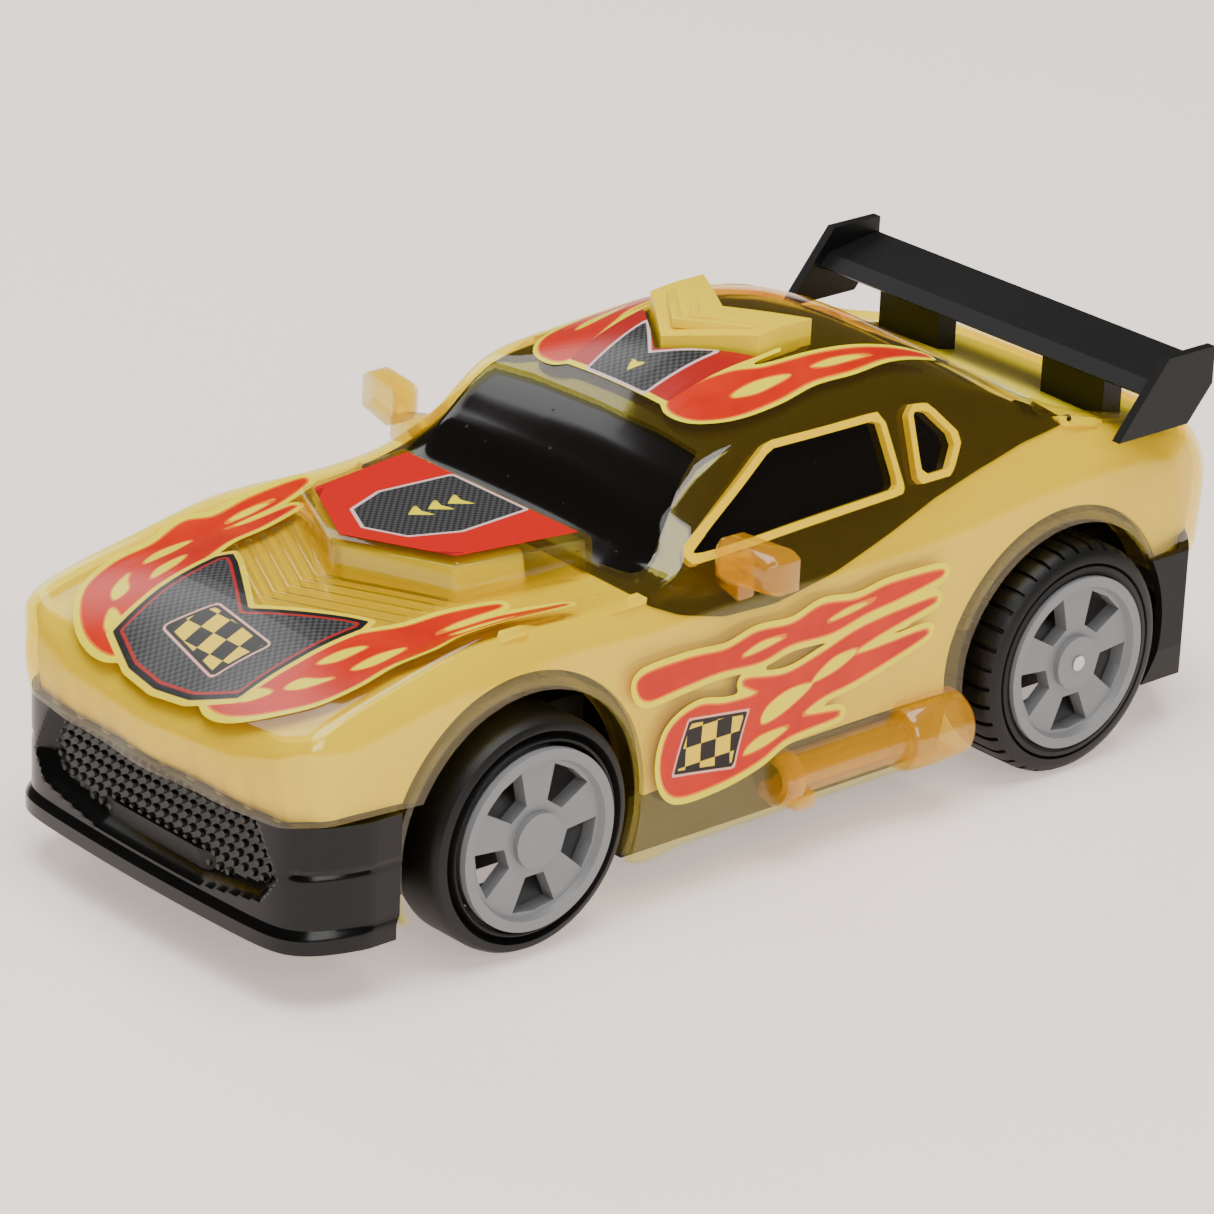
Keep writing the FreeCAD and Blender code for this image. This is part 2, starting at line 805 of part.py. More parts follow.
sticker_skin = cut("sticker_skin", sticker_form, [outer_form])


def sticker(name, view, points, low, high):
    """A piece of the sticker skin inside an outline, between two depths along the view."""
    prism = extrude(f"{name}_prism", outline(f"{name}_outline", view, points), high, f"-({low})")
    keep(name, common(name, [sticker_skin, prism]))


HOOD_TIP = f"{FRONT} - hood_sticker_front"
sticker(
    "hood_sticker",
    TOP_VIEW,
    [
        ("-hood_sticker_half", f"{FRONT} - hood_sticker_rear"),
        ("-hood_sticker_half", f"{HOOD_TIP} + nose_depth"),
        ("-hood_sticker_half / 2", HOOD_TIP),
        ("hood_sticker_half / 2", HOOD_TIP),
        ("hood_sticker_half", f"{HOOD_TIP} + nose_depth"),
        ("hood_sticker_half", f"{FRONT} - hood_sticker_rear"),
        ("0", f"{FRONT} - hood_sticker_rear - scoop_apex - hood_badge_notch"),
    ],
    "nose_top_height",
    "scoop_height",
)
sticker(
    "scoop_sticker",
    TOP_VIEW,
    [
        ("-scoop_rear_half + sticker_margin", f"{FRONT} + scoop_rear_reach - sticker_margin"),
        ("-scoop_front_half + sticker_margin", f"{FRONT} + scoop_front_reach + sticker_margin"),
        ("0", f"{FRONT} + scoop_front_reach - scoop_apex + sticker_margin"),
        ("scoop_front_half - sticker_margin", f"{FRONT} + scoop_front_reach + sticker_margin"),
        ("scoop_rear_half - sticker_margin", f"{FRONT} + scoop_rear_reach - sticker_margin"),
    ],
    "scoop_height - sticker_thickness",
    "reach",
)
ROOF_BACK = f"{FRONT} + button_front"
ROOF_NOTCH = "(button_clearance + sticker_margin)"
sticker(
    "roof_sticker",
    TOP_VIEW,
    [
        ("-roof_sticker_half", f"{FRONT} + roof_sticker_front"),
        ("roof_sticker_half", f"{FRONT} + roof_sticker_front"),
        ("roof_sticker_half", f"{FRONT} + roof_sticker_rear"),
        (f"button_half + {ROOF_NOTCH}", f"{FRONT} + roof_sticker_rear"),
        (f"button_half + {ROOF_NOTCH}", f"{ROOF_BACK} - {ROOF_NOTCH}"),
        ("0", f"{ROOF_BACK} - button_apex - {ROOF_NOTCH} * arrow_spread"),
        (f"-button_half - {ROOF_NOTCH}", f"{ROOF_BACK} - {ROOF_NOTCH}"),
        (f"-button_half - {ROOF_NOTCH}", f"{FRONT} + roof_sticker_rear"),
        ("-roof_sticker_half", f"{FRONT} + roof_sticker_rear"),
    ],
    "roof_edge_height",
    "reach",
)
SIDE_POINTS = [
    (f"{FRONT} + side_sticker_front + side_sticker_slant", "side_sticker_low"),
    (f"{FRONT} + side_sticker_rear - 30", "side_sticker_low"),
    (f"{FRONT} + side_sticker_rear", "side_sticker_high"),
    (f"{FRONT} + side_sticker_front", "side_sticker_high"),
]
sticker("side_sticker_left", SIDE_VIEW, SIDE_POINTS, "shoulder_width / 2", "reach")
sticker("side_sticker_right", SIDE_VIEW, SIDE_POINTS, "-reach", "-shoulder_width / 2")

# ---- Chassis: a tub with wheel wells, bearings for the front axle and the battery compartment ----

chassis_outside = body_form("chassis_outside", CHASSIS_OUTSIDE)
chassis_inside = body_form("chassis_inside", f"{CHASSIS_OUTSIDE} + chassis_wall")
tub_height = box("tub_height", ALL, ALL, ("floor_low", "chassis_wall_top"))
tub_space = box("tub_space", ALL, ALL, (FLOOR, "reach"))
tub = cut(
    "tub",
    common("tub_outside", [chassis_outside, tub_height]),
    [common("tub_inside", [chassis_inside, tub_space])],
)
UP = Vector(0, 0, 1)
RIGHTWARDS = Vector(1, 0, 0)
CELL_Y = f"({FRONT} + battery_reach)"
CELL_ROOM = "(cell_radius + cell_clearance)"
COMPARTMENT_X = f"(cell_spacing + {CELL_ROOM})"
CELL_LOW = "(floor_low + door_thickness + contact_thickness)"
CELL_TOP = f"({CELL_LOW} + cell_height)"
CONTACT_TOP = f"({CELL_TOP} + contact_thickness)"

chassis_parts = [tub]
chassis_cuts = []
wells = []
for end, place in (("front", FRONT), ("rear", REAR)):
    for side, sign in (("left", 1), ("right", -1)):
        face = (f"{sign} * well_face", f"{sign} * (well_face - well_wall)")
        along = (f"{place} - well_half_length", f"{place} + well_half_length")
        across = tuple(reversed(face)) if sign > 0 else face
        height = ("floor_low", "well_wall_top")
        chassis_parts.append(box(f"well_wall_{end}_{side}", across, along, height))
        outwards = (face[0], "reach") if sign > 0 else ("-reach", face[0])
        wells.append(box(f"well_{end}_{side}", outwards, along, ALL))
for side, sign in (("left", 1), ("right", -1)):
    face = (f"{sign} * bearing_inner", f"{sign} * bearing_outer")
    across = face if sign > 0 else tuple(reversed(face))
    along = (f"{FRONT} - bearing_half_length", f"{FRONT} + bearing_half_length")
    chassis_parts.append(box(f"bearing_{side}", across, along, ("floor_low", "bearing_top")))
chassis_parts.append(
    box(
        "battery_box",
        (f"-{COMPARTMENT_X} - box_wall", f"{COMPARTMENT_X} + box_wall"),
        (f"{CELL_Y} - {CELL_ROOM} - box_wall", f"{CELL_Y} + {CELL_ROOM} + box_wall"),
        ("floor_low", f"{CONTACT_TOP} + box_wall"),
    )
)
TAB_X = f"({COMPARTMENT_X} + door_tab)"
TAB_SCREW_X = f"({COMPARTMENT_X} + door_tab / 2)"
chassis_parts.append(
    rod("door_boss", UP, (TAB_SCREW_X, CELL_Y, "floor_low"), "post_radius", "screw_length")
)
battery_room = box(
    "battery_room",
    (f"-{COMPARTMENT_X}", COMPARTMENT_X),
    (f"{CELL_Y} - {CELL_ROOM}", f"{CELL_Y} + {CELL_ROOM}"),
    ("-reach", CONTACT_TOP),
)
tab_half = "(post_radius + tab_margin)"
tab_room = box(
    "tab_room",
    (COMPARTMENT_X, TAB_X),
    (f"{CELL_Y} - {tab_half}", f"{CELL_Y} + {tab_half}"),
    ("-reach", "floor_low + door_thickness"),
)
tab_hole = rod("tab_hole", UP, (TAB_SCREW_X, CELL_Y, "floor_low"), "screw_radius", "screw_length - screw_tip_gap")
front_bore = rod(
    "front_bore", RIGHTWARDS, ("-reach", FRONT, "tyre_radius"), "axle_radius + running_clearance", "2 * reach"
)
rear_bore = rod("rear_bore", RIGHTWARDS, ("-reach", REAR, "tyre_radius"), "axle_radius + rear_bore_clearance", "2 * reach")
chassis_cuts += [battery_room, tab_room, tab_hole, front_bore, rear_bore]
screws = []


def screw(name, place, head_low, length):
    """A pan head screw that points up from head_low."""
    x, y = place
    head = rod(f"{name}_head", UP, (x, y, head_low), "screw_head_radius", "screw_head_height")
    low = f"({head_low}) + screw_head_height / 2"
    shank = rod(f"{name}_shank", UP, (x, y, low), "screw_radius", f"{length} + screw_head_height / 2")
    recess = rod(
        f"{name}_recess",
        UP,
        (x, y, "-reach"),
        "screw_head_radius + screw_clearance",
        f"reach + ({head_low}) + screw_head_height",
    )
    return fuse(name, [head, shank]), recess


for end, place in (("nose", f"{NOSE} + post_setback"), ("tail", f"{TAIL} - post_setback")):
    for side, sign in (("left", 1), ("right", -1)):
        spot = (f"{sign} * post_side", place)
        item, recess = screw(f"chassis_screw_{end}_{side}", spot, "floor_low", "screw_length")
        through = rod(
            f"floor_hole_{end}_{side}", UP, (*spot, "floor_low"), "screw_radius + shank_clearance", "floor_thickness"
        )
        screws.append(item)
        chassis_cuts += [recess, through]
keep("chassis_screws", group("chassis_screws", screws))

door_slack = "door_clearance"
door = fuse(
    "door_plate",
    [
        box(
            "door_main",
            (f"-{COMPARTMENT_X} + {door_slack}", f"{COMPARTMENT_X} - {door_slack}"),
            (f"{CELL_Y} - {CELL_ROOM} + {door_slack}", f"{CELL_Y} + {CELL_ROOM} - {door_slack}"),
            ("floor_low", "floor_low + door_thickness"),
        ),
        box(
            "door_tab",
            (f"{COMPARTMENT_X} - 2 * {door_slack}", f"{TAB_X} - {door_slack}"),
            (f"{CELL_Y} - {tab_half} + {door_slack}", f"{CELL_Y} + {tab_half} - {door_slack}"),
            ("floor_low", "floor_low + door_thickness"),
        ),
    ],
)
door_screw, door_recess = screw("battery_door_screw", (TAB_SCREW_X, CELL_Y), "floor_low", "screw_length - screw_recess_depth")
door_hole = rod("door_hole", UP, (TAB_SCREW_X, CELL_Y, "-reach"), "screw_radius + shank_clearance", "2 * reach")
keep("battery_door", cut("battery_door", door, [door_recess, door_hole]))
keep("battery_door_screw", door_screw)
cells = []
for i, step in enumerate(("-cell_spacing", "0", "cell_spacing")):
    cells.append(rod(f"cell_{i}", UP, (step, CELL_Y, CELL_LOW), "cell_radius", "cell_height"))
keep("button_cells", group("button_cells", cells))
contact_half = "(cell_radius * contact_share)"
contacts = []
for name, low in (("lower", f"{CELL_LOW} - contact_thickness"), ("upper", CELL_TOP)):
    across = (f"-{COMPARTMENT_X} + {door_slack}", f"{COMPARTMENT_X} - {door_slack}")
    along = (f"{CELL_Y} - {contact_half}", f"{CELL_Y} + {contact_half}")
    contacts.append(box(f"contact_{name}", across, along, (low, f"{low} + contact_thickness")))
keep("battery_contacts", group("battery_contacts", contacts))

# ---- Light unit: a carrier over the battery box with the board, switch and lamps ----

BOARD_Y = (f"{STEM_Y} - board_half_length", f"{STEM_Y} + board_half_length")
legs = []
for side, sign in (("left", 1), ("right", -1)):
    face = (f"{sign} * (carrier_half_width - carrier_wall)", f"{sign} * carrier_half_width")
    across = face if sign > 0 else tuple(reversed(face))
    legs.append(box(f"leg_{side}", across, BOARD_Y, (FLOOR, "board_height")))
deck = box(
    "carrier_deck",
    ("-carrier_half_width", "carrier_half_width"),
    BOARD_Y,
    ("board_height - carrier_wall", "board_height"),
)
keep("light_carrier", fuse("light_carrier", [*legs, deck]))
board_x = ("-board_half_width", "board_half_width")
keep("light_board", box("light_board", board_x, BOARD_Y, ("board_height", BOARD_TOP)))
switch_block = box(
    "switch_block",
    ("-switch_half", "switch_half"),
    (f"{STEM_Y} - switch_half", f"{STEM_Y} + switch_half"),
    (BOARD_TOP, SWITCH_TOP),
)
switch_bore = rod(
    "switch_bore",
    UP,
    ("0", STEM_Y, f"{SWITCH_TOP} - plunger_seat - button_travel - plunger_floor_gap"),
    "plunger_radius + plunger_clearance",
    "reach",
)
keep("switch_housing", cut("switch_housing", switch_block, [switch_bore]))
plunger_low = f"{SWITCH_TOP} - plunger_seat"
keep(
    "switch_plunger",
    rod("switch_plunger", UP, ("0", STEM_Y, plunger_low), "plunger_radius", "plunger_seat + plunger_rise"),
)
lamps = []
for side, sign in (("left", 1), ("right", -1)):
    place = (f"{sign} * lamp_side", STEM_Y, BOARD_TOP)
    dome = doc.addObject("Part::Sphere", f"lamp_dome_{side}")
    bind(dome, Radius="lamp_radius")
    for letter, text in zip("xyz", (place[0], STEM_Y, f"{BOARD_TOP} + lamp_height - lamp_radius")):
        bind(dome, **{f"Placement__Base__{letter}": text})
    barrel = rod(f"lamp_barrel_{side}", UP, place, "lamp_radius", "lamp_height - lamp_radius")
    lamps.append(fuse(f"lamp_{side}", [barrel, dome]))
keep("lamps", group("lamps", lamps))
coil = doc.addObject("Part::Helix", "coil")
coil_span = f"({FLANGE_TOP} - flange_thickness - 2 * coil_wire - {BOARD_TOP})"
bind(coil, Radius="coil_radius", Height=coil_span, Pitch=f"{coil_span} / coil_turns")
bind(coil, Placement__Base__y=STEM_Y, Placement__Base__z=f"{BOARD_TOP} + coil_wire")
wire_section = doc.addObject("Part::Circle", "wire_section")
wire_section.Placement = Placement(Vector(), FRONT_VIEW)
bind(wire_section, Radius="coil_wire", Placement__Base__x="coil_radius", Placement__Base__y=STEM_Y)
bind(wire_section, Placement__Base__z=f"{BOARD_TOP} + coil_wire")
spring = doc.addObject("Part::Sweep", "button_spring")
spring.Sections = [wire_section]
spring.Spine = (coil, [])
spring.Solid = True
spring.Frenet = True
keep("button_spring", spring)

# ---- Wheels: rims and tyres turned about their own axes, outer face at zero ----


def turned(name, points):
    """A body turned from a half section of radius and depth."""
    body = doc.addObject("PartDesign::Body", name)
    sketch = body.newObject("Sketcher::SketchObject", f"{name}_section")
    plane = next(item for item in body.Origin.OriginFeatures if item.Role == "XZ_Plane")
    sketch.AttachmentSupport = [(plane, "")]
    sketch.MapMode = "FlatFace"
    draw(sketch, points, {})
    turn = body.newObject("PartDesign::Revolution", f"{name}_turn")
    turn.Profile = sketch
    turn.ReferenceAxis = (sketch, ["V_Axis"])
    turn.Angle = 360
    doc.recompute()
    return body


def repeat_pocket(body, name, points, count):
    """Cuts one outline right through the body and repeats it round the axis."""
    sketch = body.newObject("Sketcher::SketchObject", f"{name}_cut")
    plane = next(item for item in body.Origin.OriginFeatures if item.Role == "XY_Plane")
    sketch.AttachmentSupport = [(plane, "")]
    sketch.MapMode = "FlatFace"
    draw(sketch, points, {})
    pocket = body.newObject("PartDesign::Pocket", f"{name}_pocket")
    pocket.Profile = sketch
    pocket.Type = "ThroughAll"
    pocket.Midplane = True
    doc.recompute()
    ring = body.newObject("PartDesign::PolarPattern", f"{name}_ring")
    ring.Originals = [pocket]
    axis = next(item for item in body.Origin.OriginFeatures if item.Role == "Z_Axis")
    ring.Axis = (axis, [""])
    ring.Angle = 360
    bind(ring, Occurrences=count)
    body.Tip = ring
    doc.recompute()


DISC_BACK = "-(disc_recess + disc_thickness)"
BARREL = "(rim_seat_radius - rim_wall)"


def rim_section(bore, cap):
    """The rim's half section. The bore stops cap short of the outer face, or goes through."""
    outer_end = [(bore, "0")] if cap is None else [(bore, f"-{cap}"), ("0", f"-{cap}"), ("0", "0")]
    return [
        *outer_end,
        ("hub_radius", "0"),
        ("hub_radius", "-disc_recess"),
        (BARREL, "-disc_recess"),
        (f"{BARREL} + rim_round", "0"),
        ("rim_radius", "0"),
        ("rim_radius", "-rim_lip"),
        ("rim_seat_radius", "-rim_lip"),
        ("rim_seat_radius", "-tyre_width"),
        (BARREL, "-tyre_width"),
        (BARREL, DISC_BACK),
        ("hub_radius", DISC_BACK),
        ("hub_radius", "-tyre_width + rim_back_setback"),
        (bore, "-tyre_width + rim_back_setback"),
    ]


SPOKE_GAP = [
    ("window_inner_radius", "-window_inner_half"),
    ("window_outer_radius", "-window_outer_half"),
    ("window_outer_radius + 0.6", "0"),
    ("window_outer_radius", "window_outer_half"),
    ("window_inner_radius", "window_inner_half"),
]
TYRE_SECTION = [
    ("rim_seat_radius", "-tyre_width"),
    ("tyre_radius - tyre_shoulder", "-tyre_width"),
    ("tyre_radius", "-tyre_width + tyre_shoulder"),
    ("tyre_radius", "-tyre_setback - tyre_shoulder"),
    ("tyre_radius - tyre_shoulder", "-tyre_setback"),
    ("rim_radius", "-tyre_setback"),
    ("rim_radius", "-rim_lip"),
    ("rim_seat_radius", "-rim_lip"),
]
for end, place, cap in (("front", FRONT, "hub_cap"), ("rear", REAR, None)):
    for side, sign in (("left", 1), ("right", -1)):
        rim = turned(f"{end}_rim_{side}", rim_section("axle_radius", cap))
        repeat_pocket(rim, f"{end}_rim_{side}", SPOKE_GAP, "spoke_count")
        tyre = turned(f"{end}_tyre_{side}", TYRE_SECTION)
        for item in (rim, tyre):
            item.Placement = Placement(Vector(), Rotation(Vector(0, 1, 0), sign * 90))
            bind(item, Placement__Base__x=f"{sign} * rim_face", Placement__Base__y=place)
            bind(item, Placement__Base__z="tyre_radius")
        keep(f"{end}_rim_{side}", rim)
        keep(f"{end}_tyre_{side}", tyre)
for end, place, half in (("front", FRONT, "(rim_face - hub_cap)"), ("rear", REAR, "(rim_face + axle_stub)")):
    start = (f"-{half}", place, "tyre_radius")
    keep(f"{end}_axle", rod(f"{end}_axle", RIGHTWARDS, start, "axle_radius", f"2 * {half}"))

# ---- Pull back motor: three gear shafts and a mainspring in a closed case ----


def pitch_radius(teeth):
    return f"({teeth} * gear_module / 2)"


def outer_radius(teeth):
    return f"({teeth} * gear_module / 2 + addendum * gear_module)"


def gear(name, teeth, width):
    """A spur gear with its first gap on the body's +X."""
    body = doc.addObject("PartDesign::Body", name)
    disc = body.newObject("PartDesign::AdditiveCylinder", f"{name}_disc")
    bind(disc, Radius=outer_radius(teeth), Height=width)
    doc.recompute()
    spread = f"(20 + 90 / {teeth})"
    middle = f"{pitch_radius(teeth)} * sin(90 / {teeth}) * (1 + backlash)"
    root = f"({pitch_radius(teeth)} - dedendum * gear_module)"
    tip = f"({outer_radius(teeth)} + 0.2)"
    at_root = f"({middle} + ({root} - {pitch_radius(teeth)}) * tan{spread})"
    at_tip = f"({middle} + ({tip} - {pitch_radius(teeth)}) * tan{spread})"
    gap = [(root, f"-{at_root}"), (tip, f"-{at_tip}"), (tip, at_tip), (root, at_root)]
    repeat_pocket(body, name, gap, teeth)
    return body


def set_gear(item, across, along, height, turn):
    """Puts a gear on its shaft, turned so that its teeth mesh."""
    item.Placement = Placement(Vector(), SIDE_VIEW * Rotation(Vector(0, 0, 1), turn))
    bind(item, Placement__Base__x=across, Placement__Base__y=along, Placement__Base__z=height)
    return item


FIRST_DISTANCE = "(gear_module * (axle_teeth + transfer_teeth) / 2)"
SECOND_DISTANCE = "(gear_module * (pinion_teeth + winding_teeth) / 2)"
TRANSFER_Y = f"({REAR} - {FIRST_DISTANCE})"
WINDING_Y = f"({TRANSFER_Y} - {SECOND_DISTANCE} * cos(winding_rise))"
WINDING_Z = f"(tyre_radius + {SECOND_DISTANCE} * sin(winding_rise))"
STAGE_ONE = "gear_side_gap"
STAGE_TWO = "(-gear_side_gap - gear_width)"
CASE_LEFT = "(2 * gear_side_gap + gear_width)"
SPRING_X = f"({STAGE_TWO} - gear_side_gap - spring_width)"
CASE_RIGHT = f"({SPRING_X} - gear_side_gap)"
CASE_FRONT = f"({WINDING_Y} - {outer_radius('winding_teeth')} - gear_clearance)"
CASE_BACK = f"({REAR} + {outer_radius('axle_teeth')} + gear_clearance)"
CASE_LOW = f"(tyre_radius - {outer_radius('transfer_teeth')} - gear_clearance)"
CASE_HIGH = f"({WINDING_Z} + {outer_radius('winding_teeth')} + gear_clearance)"
LUG_Y = f"({CASE_FRONT} - case_wall - lug_length / 2)"

axle_gear = gear("axle_gear_teeth", "axle_teeth", "gear_width")
set_gear(axle_gear, STAGE_ONE, REAR, "tyre_radius", 180)
axle_gear_bore = rod(
    "axle_gear_bore", RIGHTWARDS, ("-reach", REAR, "tyre_radius"), "axle_radius", "2 * reach"
)
keep("axle_gear", cut("axle_gear", axle_gear, [axle_gear_bore]))


def shaft(name, along, height):
    start = (f"{CASE_RIGHT} - case_wall", along, height)
    length = f"{CASE_LEFT} - {CASE_RIGHT} + 2 * case_wall"
    return rod(name, RIGHTWARDS, start, "shaft_radius", length)


rise = number("winding_rise")
transfer = set_gear(
    gear("transfer_teeth_ring", "transfer_teeth", "gear_width"),
    STAGE_ONE,
    TRANSFER_Y,
    "tyre_radius",
    180 / number("transfer_teeth"),
)
pinion = set_gear(
    gear("pinion_teeth_ring", "pinion_teeth", "gear_width + 2 * gear_side_gap"),
    STAGE_TWO,
    TRANSFER_Y,
    "tyre_radius",
    180 - rise,
)
transfer_shaft = shaft("transfer_shaft", TRANSFER_Y, "tyre_radius")
keep("transfer_gear", fuse("transfer_gear", [transfer, pinion, transfer_shaft]))
winding = set_gear(
    gear("winding_teeth_ring", "winding_teeth", "gear_width"),
    STAGE_TWO,
    WINDING_Y,
    WINDING_Z,
    180 / number("winding_teeth") - rise,
)
winding_shaft = shaft("winding_shaft", WINDING_Y, WINDING_Z)
keep("winding_gear", fuse("winding_gear", [winding, winding_shaft]))


def spiral_strip():
    """The mainspring: a flat strip wound in an even spiral round the winding shaft."""
    turn = 2 * math.pi * number("spring_turns")
    leaf = number("spring_leaf")
    growth = (number("spring_outer") - leaf - number("spring_inner")) / turn

    def curve(offset):
        steps = int(number("spring_turns") * 24)
        angles = [turn * i / steps for i in range(steps + 1)]
        radii = [number("spring_inner") + offset + growth * angle for angle in angles]
        points = [Vector(0, r * math.cos(a), r * math.sin(a)) for r, a in zip(radii, angles)]
        spline = Part.BSplineCurve()
        spline.interpolate(points)
        return spline.toShape(), points

    inner, inner_points = curve(0)
    outer, outer_points = curve(leaf)
    starts = Part.LineSegment(inner_points[0], outer_points[0]).toShape()
    ends = Part.LineSegment(inner_points[-1], outer_points[-1]).toShape()
    face = Part.Face(Part.Wire(Part.__sortEdges__([inner, starts, outer, ends])))
    return face.extrude(Vector(number("spring_width"), 0, 0))


mainspring = doc.addObject("Part::Feature", "mainspring")
mainspring.Shape = spiral_strip()
mainspring.Placement = Placement(
    Vector(number(SPRING_X), number(WINDING_Y), number(WINDING_Z)), Rotation()
)
keep("mainspring", mainspring)

case_outside = box(
    "case_outside",
    (f"{CASE_RIGHT} - case_wall", CASE_LEFT),
    (f"{CASE_FRONT} - case_wall", f"{CASE_BACK} + case_wall"),
    (f"{CASE_LOW} - case_wall", f"{CASE_HIGH} + case_wall"),
)
case_space = box("case_space", (CASE_RIGHT, "reach"), (CASE_FRONT, CASE_BACK), (CASE_LOW, CASE_HIGH))
shaft_bores = []
for name, along, height, radius in (
    ("axle", REAR, "tyre_radius", "axle_radius"),
    ("transfer", TRANSFER_Y, "tyre_radius", "shaft_radius"),
    ("winding", WINDING_Y, WINDING_Z, "shaft_radius"),
):
    start = ("-reach", along, height)
    shaft_bores.append(
        rod(f"{name}_bore", RIGHTWARDS, start, f"{radius} + running_clearance", "2 * reach")
    )
feet = []
foot_holes = []
motor_screws = []
for name, across in (("left", f"{CASE_LEFT} - post_radius"), ("right", f"{CASE_RIGHT} + post_radius")):
    low = (across, LUG_Y, FLOOR)
    feet.append(rod(f"foot_{name}", UP, low, "post_radius", f"lug_height - {FLOOR}"))
    item, recess = screw(f"motor_screw_{name}", (across, LUG_Y), "floor_low", "screw_length - screw_recess_depth")
    hole_low = (across, LUG_Y, "floor_low")
    foot_holes.append(rod(f"foot_hole_{name}", UP, hole_low, "screw_radius", "screw_length - screw_tip_gap"))
    through = rod(f"motor_floor_hole_{name}", UP, hole_low, "screw_radius + shank_clearance", "floor_thickness")
    motor_screws.append(item)
    chassis_cuts += [recess, through]
keep("motor_screws", group("motor_screws", motor_screws))
lug = box(
    "motor_lug",
    (CASE_RIGHT, CASE_LEFT),
    (LUG_Y, f"{CASE_FRONT} - case_wall / 2"),
    ("lug_height - lug_thickness", "lug_height"),
)
case = fuse("case_whole", [cut("case_hollow", case_outside, [case_space]), lug, *feet])
keep("motor_case", cut("motor_case", case, [*shaft_bores, *foot_holes]))
cover = box(
    "cover_plate",
    (CASE_LEFT, f"{CASE_LEFT} + case_wall"),
    (f"{CASE_FRONT} - case_wall", f"{CASE_BACK} + case_wall"),
    (f"{CASE_LOW} - case_wall", f"{CASE_HIGH} + case_wall"),
)
keep("motor_cover", cut("motor_cover", cover, shaft_bores))
chassis_parts.append(
    box(
        "motor_pad",
        (CASE_RIGHT, CASE_LEFT),
        (f"{TRANSFER_Y} - post_radius", f"{TRANSFER_Y} + post_radius"),
        ("floor_low", f"{CASE_LOW} - case_wall"),
    )
)

whole_chassis = fuse("chassis_whole", chassis_parts)
keep("chassis", cut("chassis", whole_chassis, [*wells, *chassis_cuts]))

# ---- Check and write ----

doc.recompute()
for item in doc.Objects:
    if "Invalid" in item.State or "Error" in item.State:
        raise RuntimeError(f"{item.Name} ({item.Label}) failed: {item.State}")
os.makedirs("parts", exist_ok=True)
for name, item in nodes.items():
    shape = item.Shape
    if shape.isNull() or not shape.isValid() or not shape.Solids:
        raise RuntimeError(f"{name} has no valid solid")
for name, item in nodes.items():
    item.Shape.exportStep(f"parts/{name}.step")

    print(f"{name:20s} {len(item.Shape.Solids)} solids, volume {item.Shape.Volume:9.1f}")
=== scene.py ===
import math
import bmesh
import bpy
import numpy as np
from mathutils import Matrix, Quaternion, Vector
from mathutils.bvhtree import BVHTree


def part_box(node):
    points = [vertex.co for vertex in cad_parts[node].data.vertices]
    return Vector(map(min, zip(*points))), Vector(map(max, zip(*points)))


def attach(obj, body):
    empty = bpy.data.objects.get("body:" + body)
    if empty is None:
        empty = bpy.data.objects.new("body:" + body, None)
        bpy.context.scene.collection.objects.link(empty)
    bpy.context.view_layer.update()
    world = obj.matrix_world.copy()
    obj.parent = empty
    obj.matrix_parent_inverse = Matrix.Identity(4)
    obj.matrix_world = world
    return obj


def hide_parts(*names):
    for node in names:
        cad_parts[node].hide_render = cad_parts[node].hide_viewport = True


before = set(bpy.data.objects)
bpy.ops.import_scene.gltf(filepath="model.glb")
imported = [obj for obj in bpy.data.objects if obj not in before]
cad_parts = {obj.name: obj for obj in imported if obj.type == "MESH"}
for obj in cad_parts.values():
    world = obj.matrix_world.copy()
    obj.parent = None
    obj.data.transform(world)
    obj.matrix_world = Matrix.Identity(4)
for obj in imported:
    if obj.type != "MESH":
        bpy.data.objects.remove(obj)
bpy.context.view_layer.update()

MM = 0.001
bpy.ops.object.select_all(action="DESELECT")


# ---- Studio -------------------------------------------------------------------------
# A flat sheet of pale paper, wide enough to fill the view. It gives off a little light,
# which keeps it pale under weak lamps. Soft boxes hang above, to the left and in front.


def linear(code, alpha=1.0):
    """A colour written as sRGB hex, turned to the linear values that shaders take."""
    parts = [int(code[i : i + 2], 16) / 255 for i in (1, 3, 5)]
    return (*[p / 12.92 if p <= 0.04045 else ((p + 0.055) / 1.055) ** 2.4 for p in parts], alpha)


def material(name):
    """An empty node material and its tree."""
    made = bpy.data.materials.new(name)
    made.use_nodes = True
    made.node_tree.nodes.clear()
    return made, made.node_tree


def add(tree, kind, inputs=None, **settings):
    """Adds a node, sets its properties, and fills its inputs with values or links."""
    node = tree.nodes.new(kind)
    for key, value in settings.items():
        setattr(node, key, value)
    for key, value in (inputs or {}).items():
        if isinstance(value, bpy.types.NodeSocket):
            tree.links.new(value, node.inputs[key])
        else:
            node.inputs[key].default_value = value
    return node


def show(tree, shader, volume=None):
    """Sends a shader, and a volume if there is one, to the material's output."""
    out = add(tree, "ShaderNodeOutputMaterial", {"Surface": shader})
    if volume:
        tree.links.new(volume, out.inputs["Volume"])


def dress(piece, *finishes):
    """Gives a piece its materials in place of the ones that it has."""
    piece.data.materials.clear()
    for finish in finishes:
        piece.data.materials.append(finish)


paper, tree = material("seamless_paper")
grain = add(tree, "ShaderNodeTexNoise", {"Scale": 900.0, "Detail": 3.0})
bump = add(tree, "ShaderNodeBump", {"Strength": 0.02, "Height": grain.outputs["Fac"]})
sheet = add(
    tree,
    "ShaderNodeBsdfPrincipled",
    {
        "Base Color": linear("#FFF6F0"),
        "Roughness": 0.9,
        "Normal": bump.outputs["Normal"],
        "Emission Color": linear("#FFEBDD"),
        "Emission Strength": 0.55,
    },
)
show(tree, sheet.outputs["BSDF"])

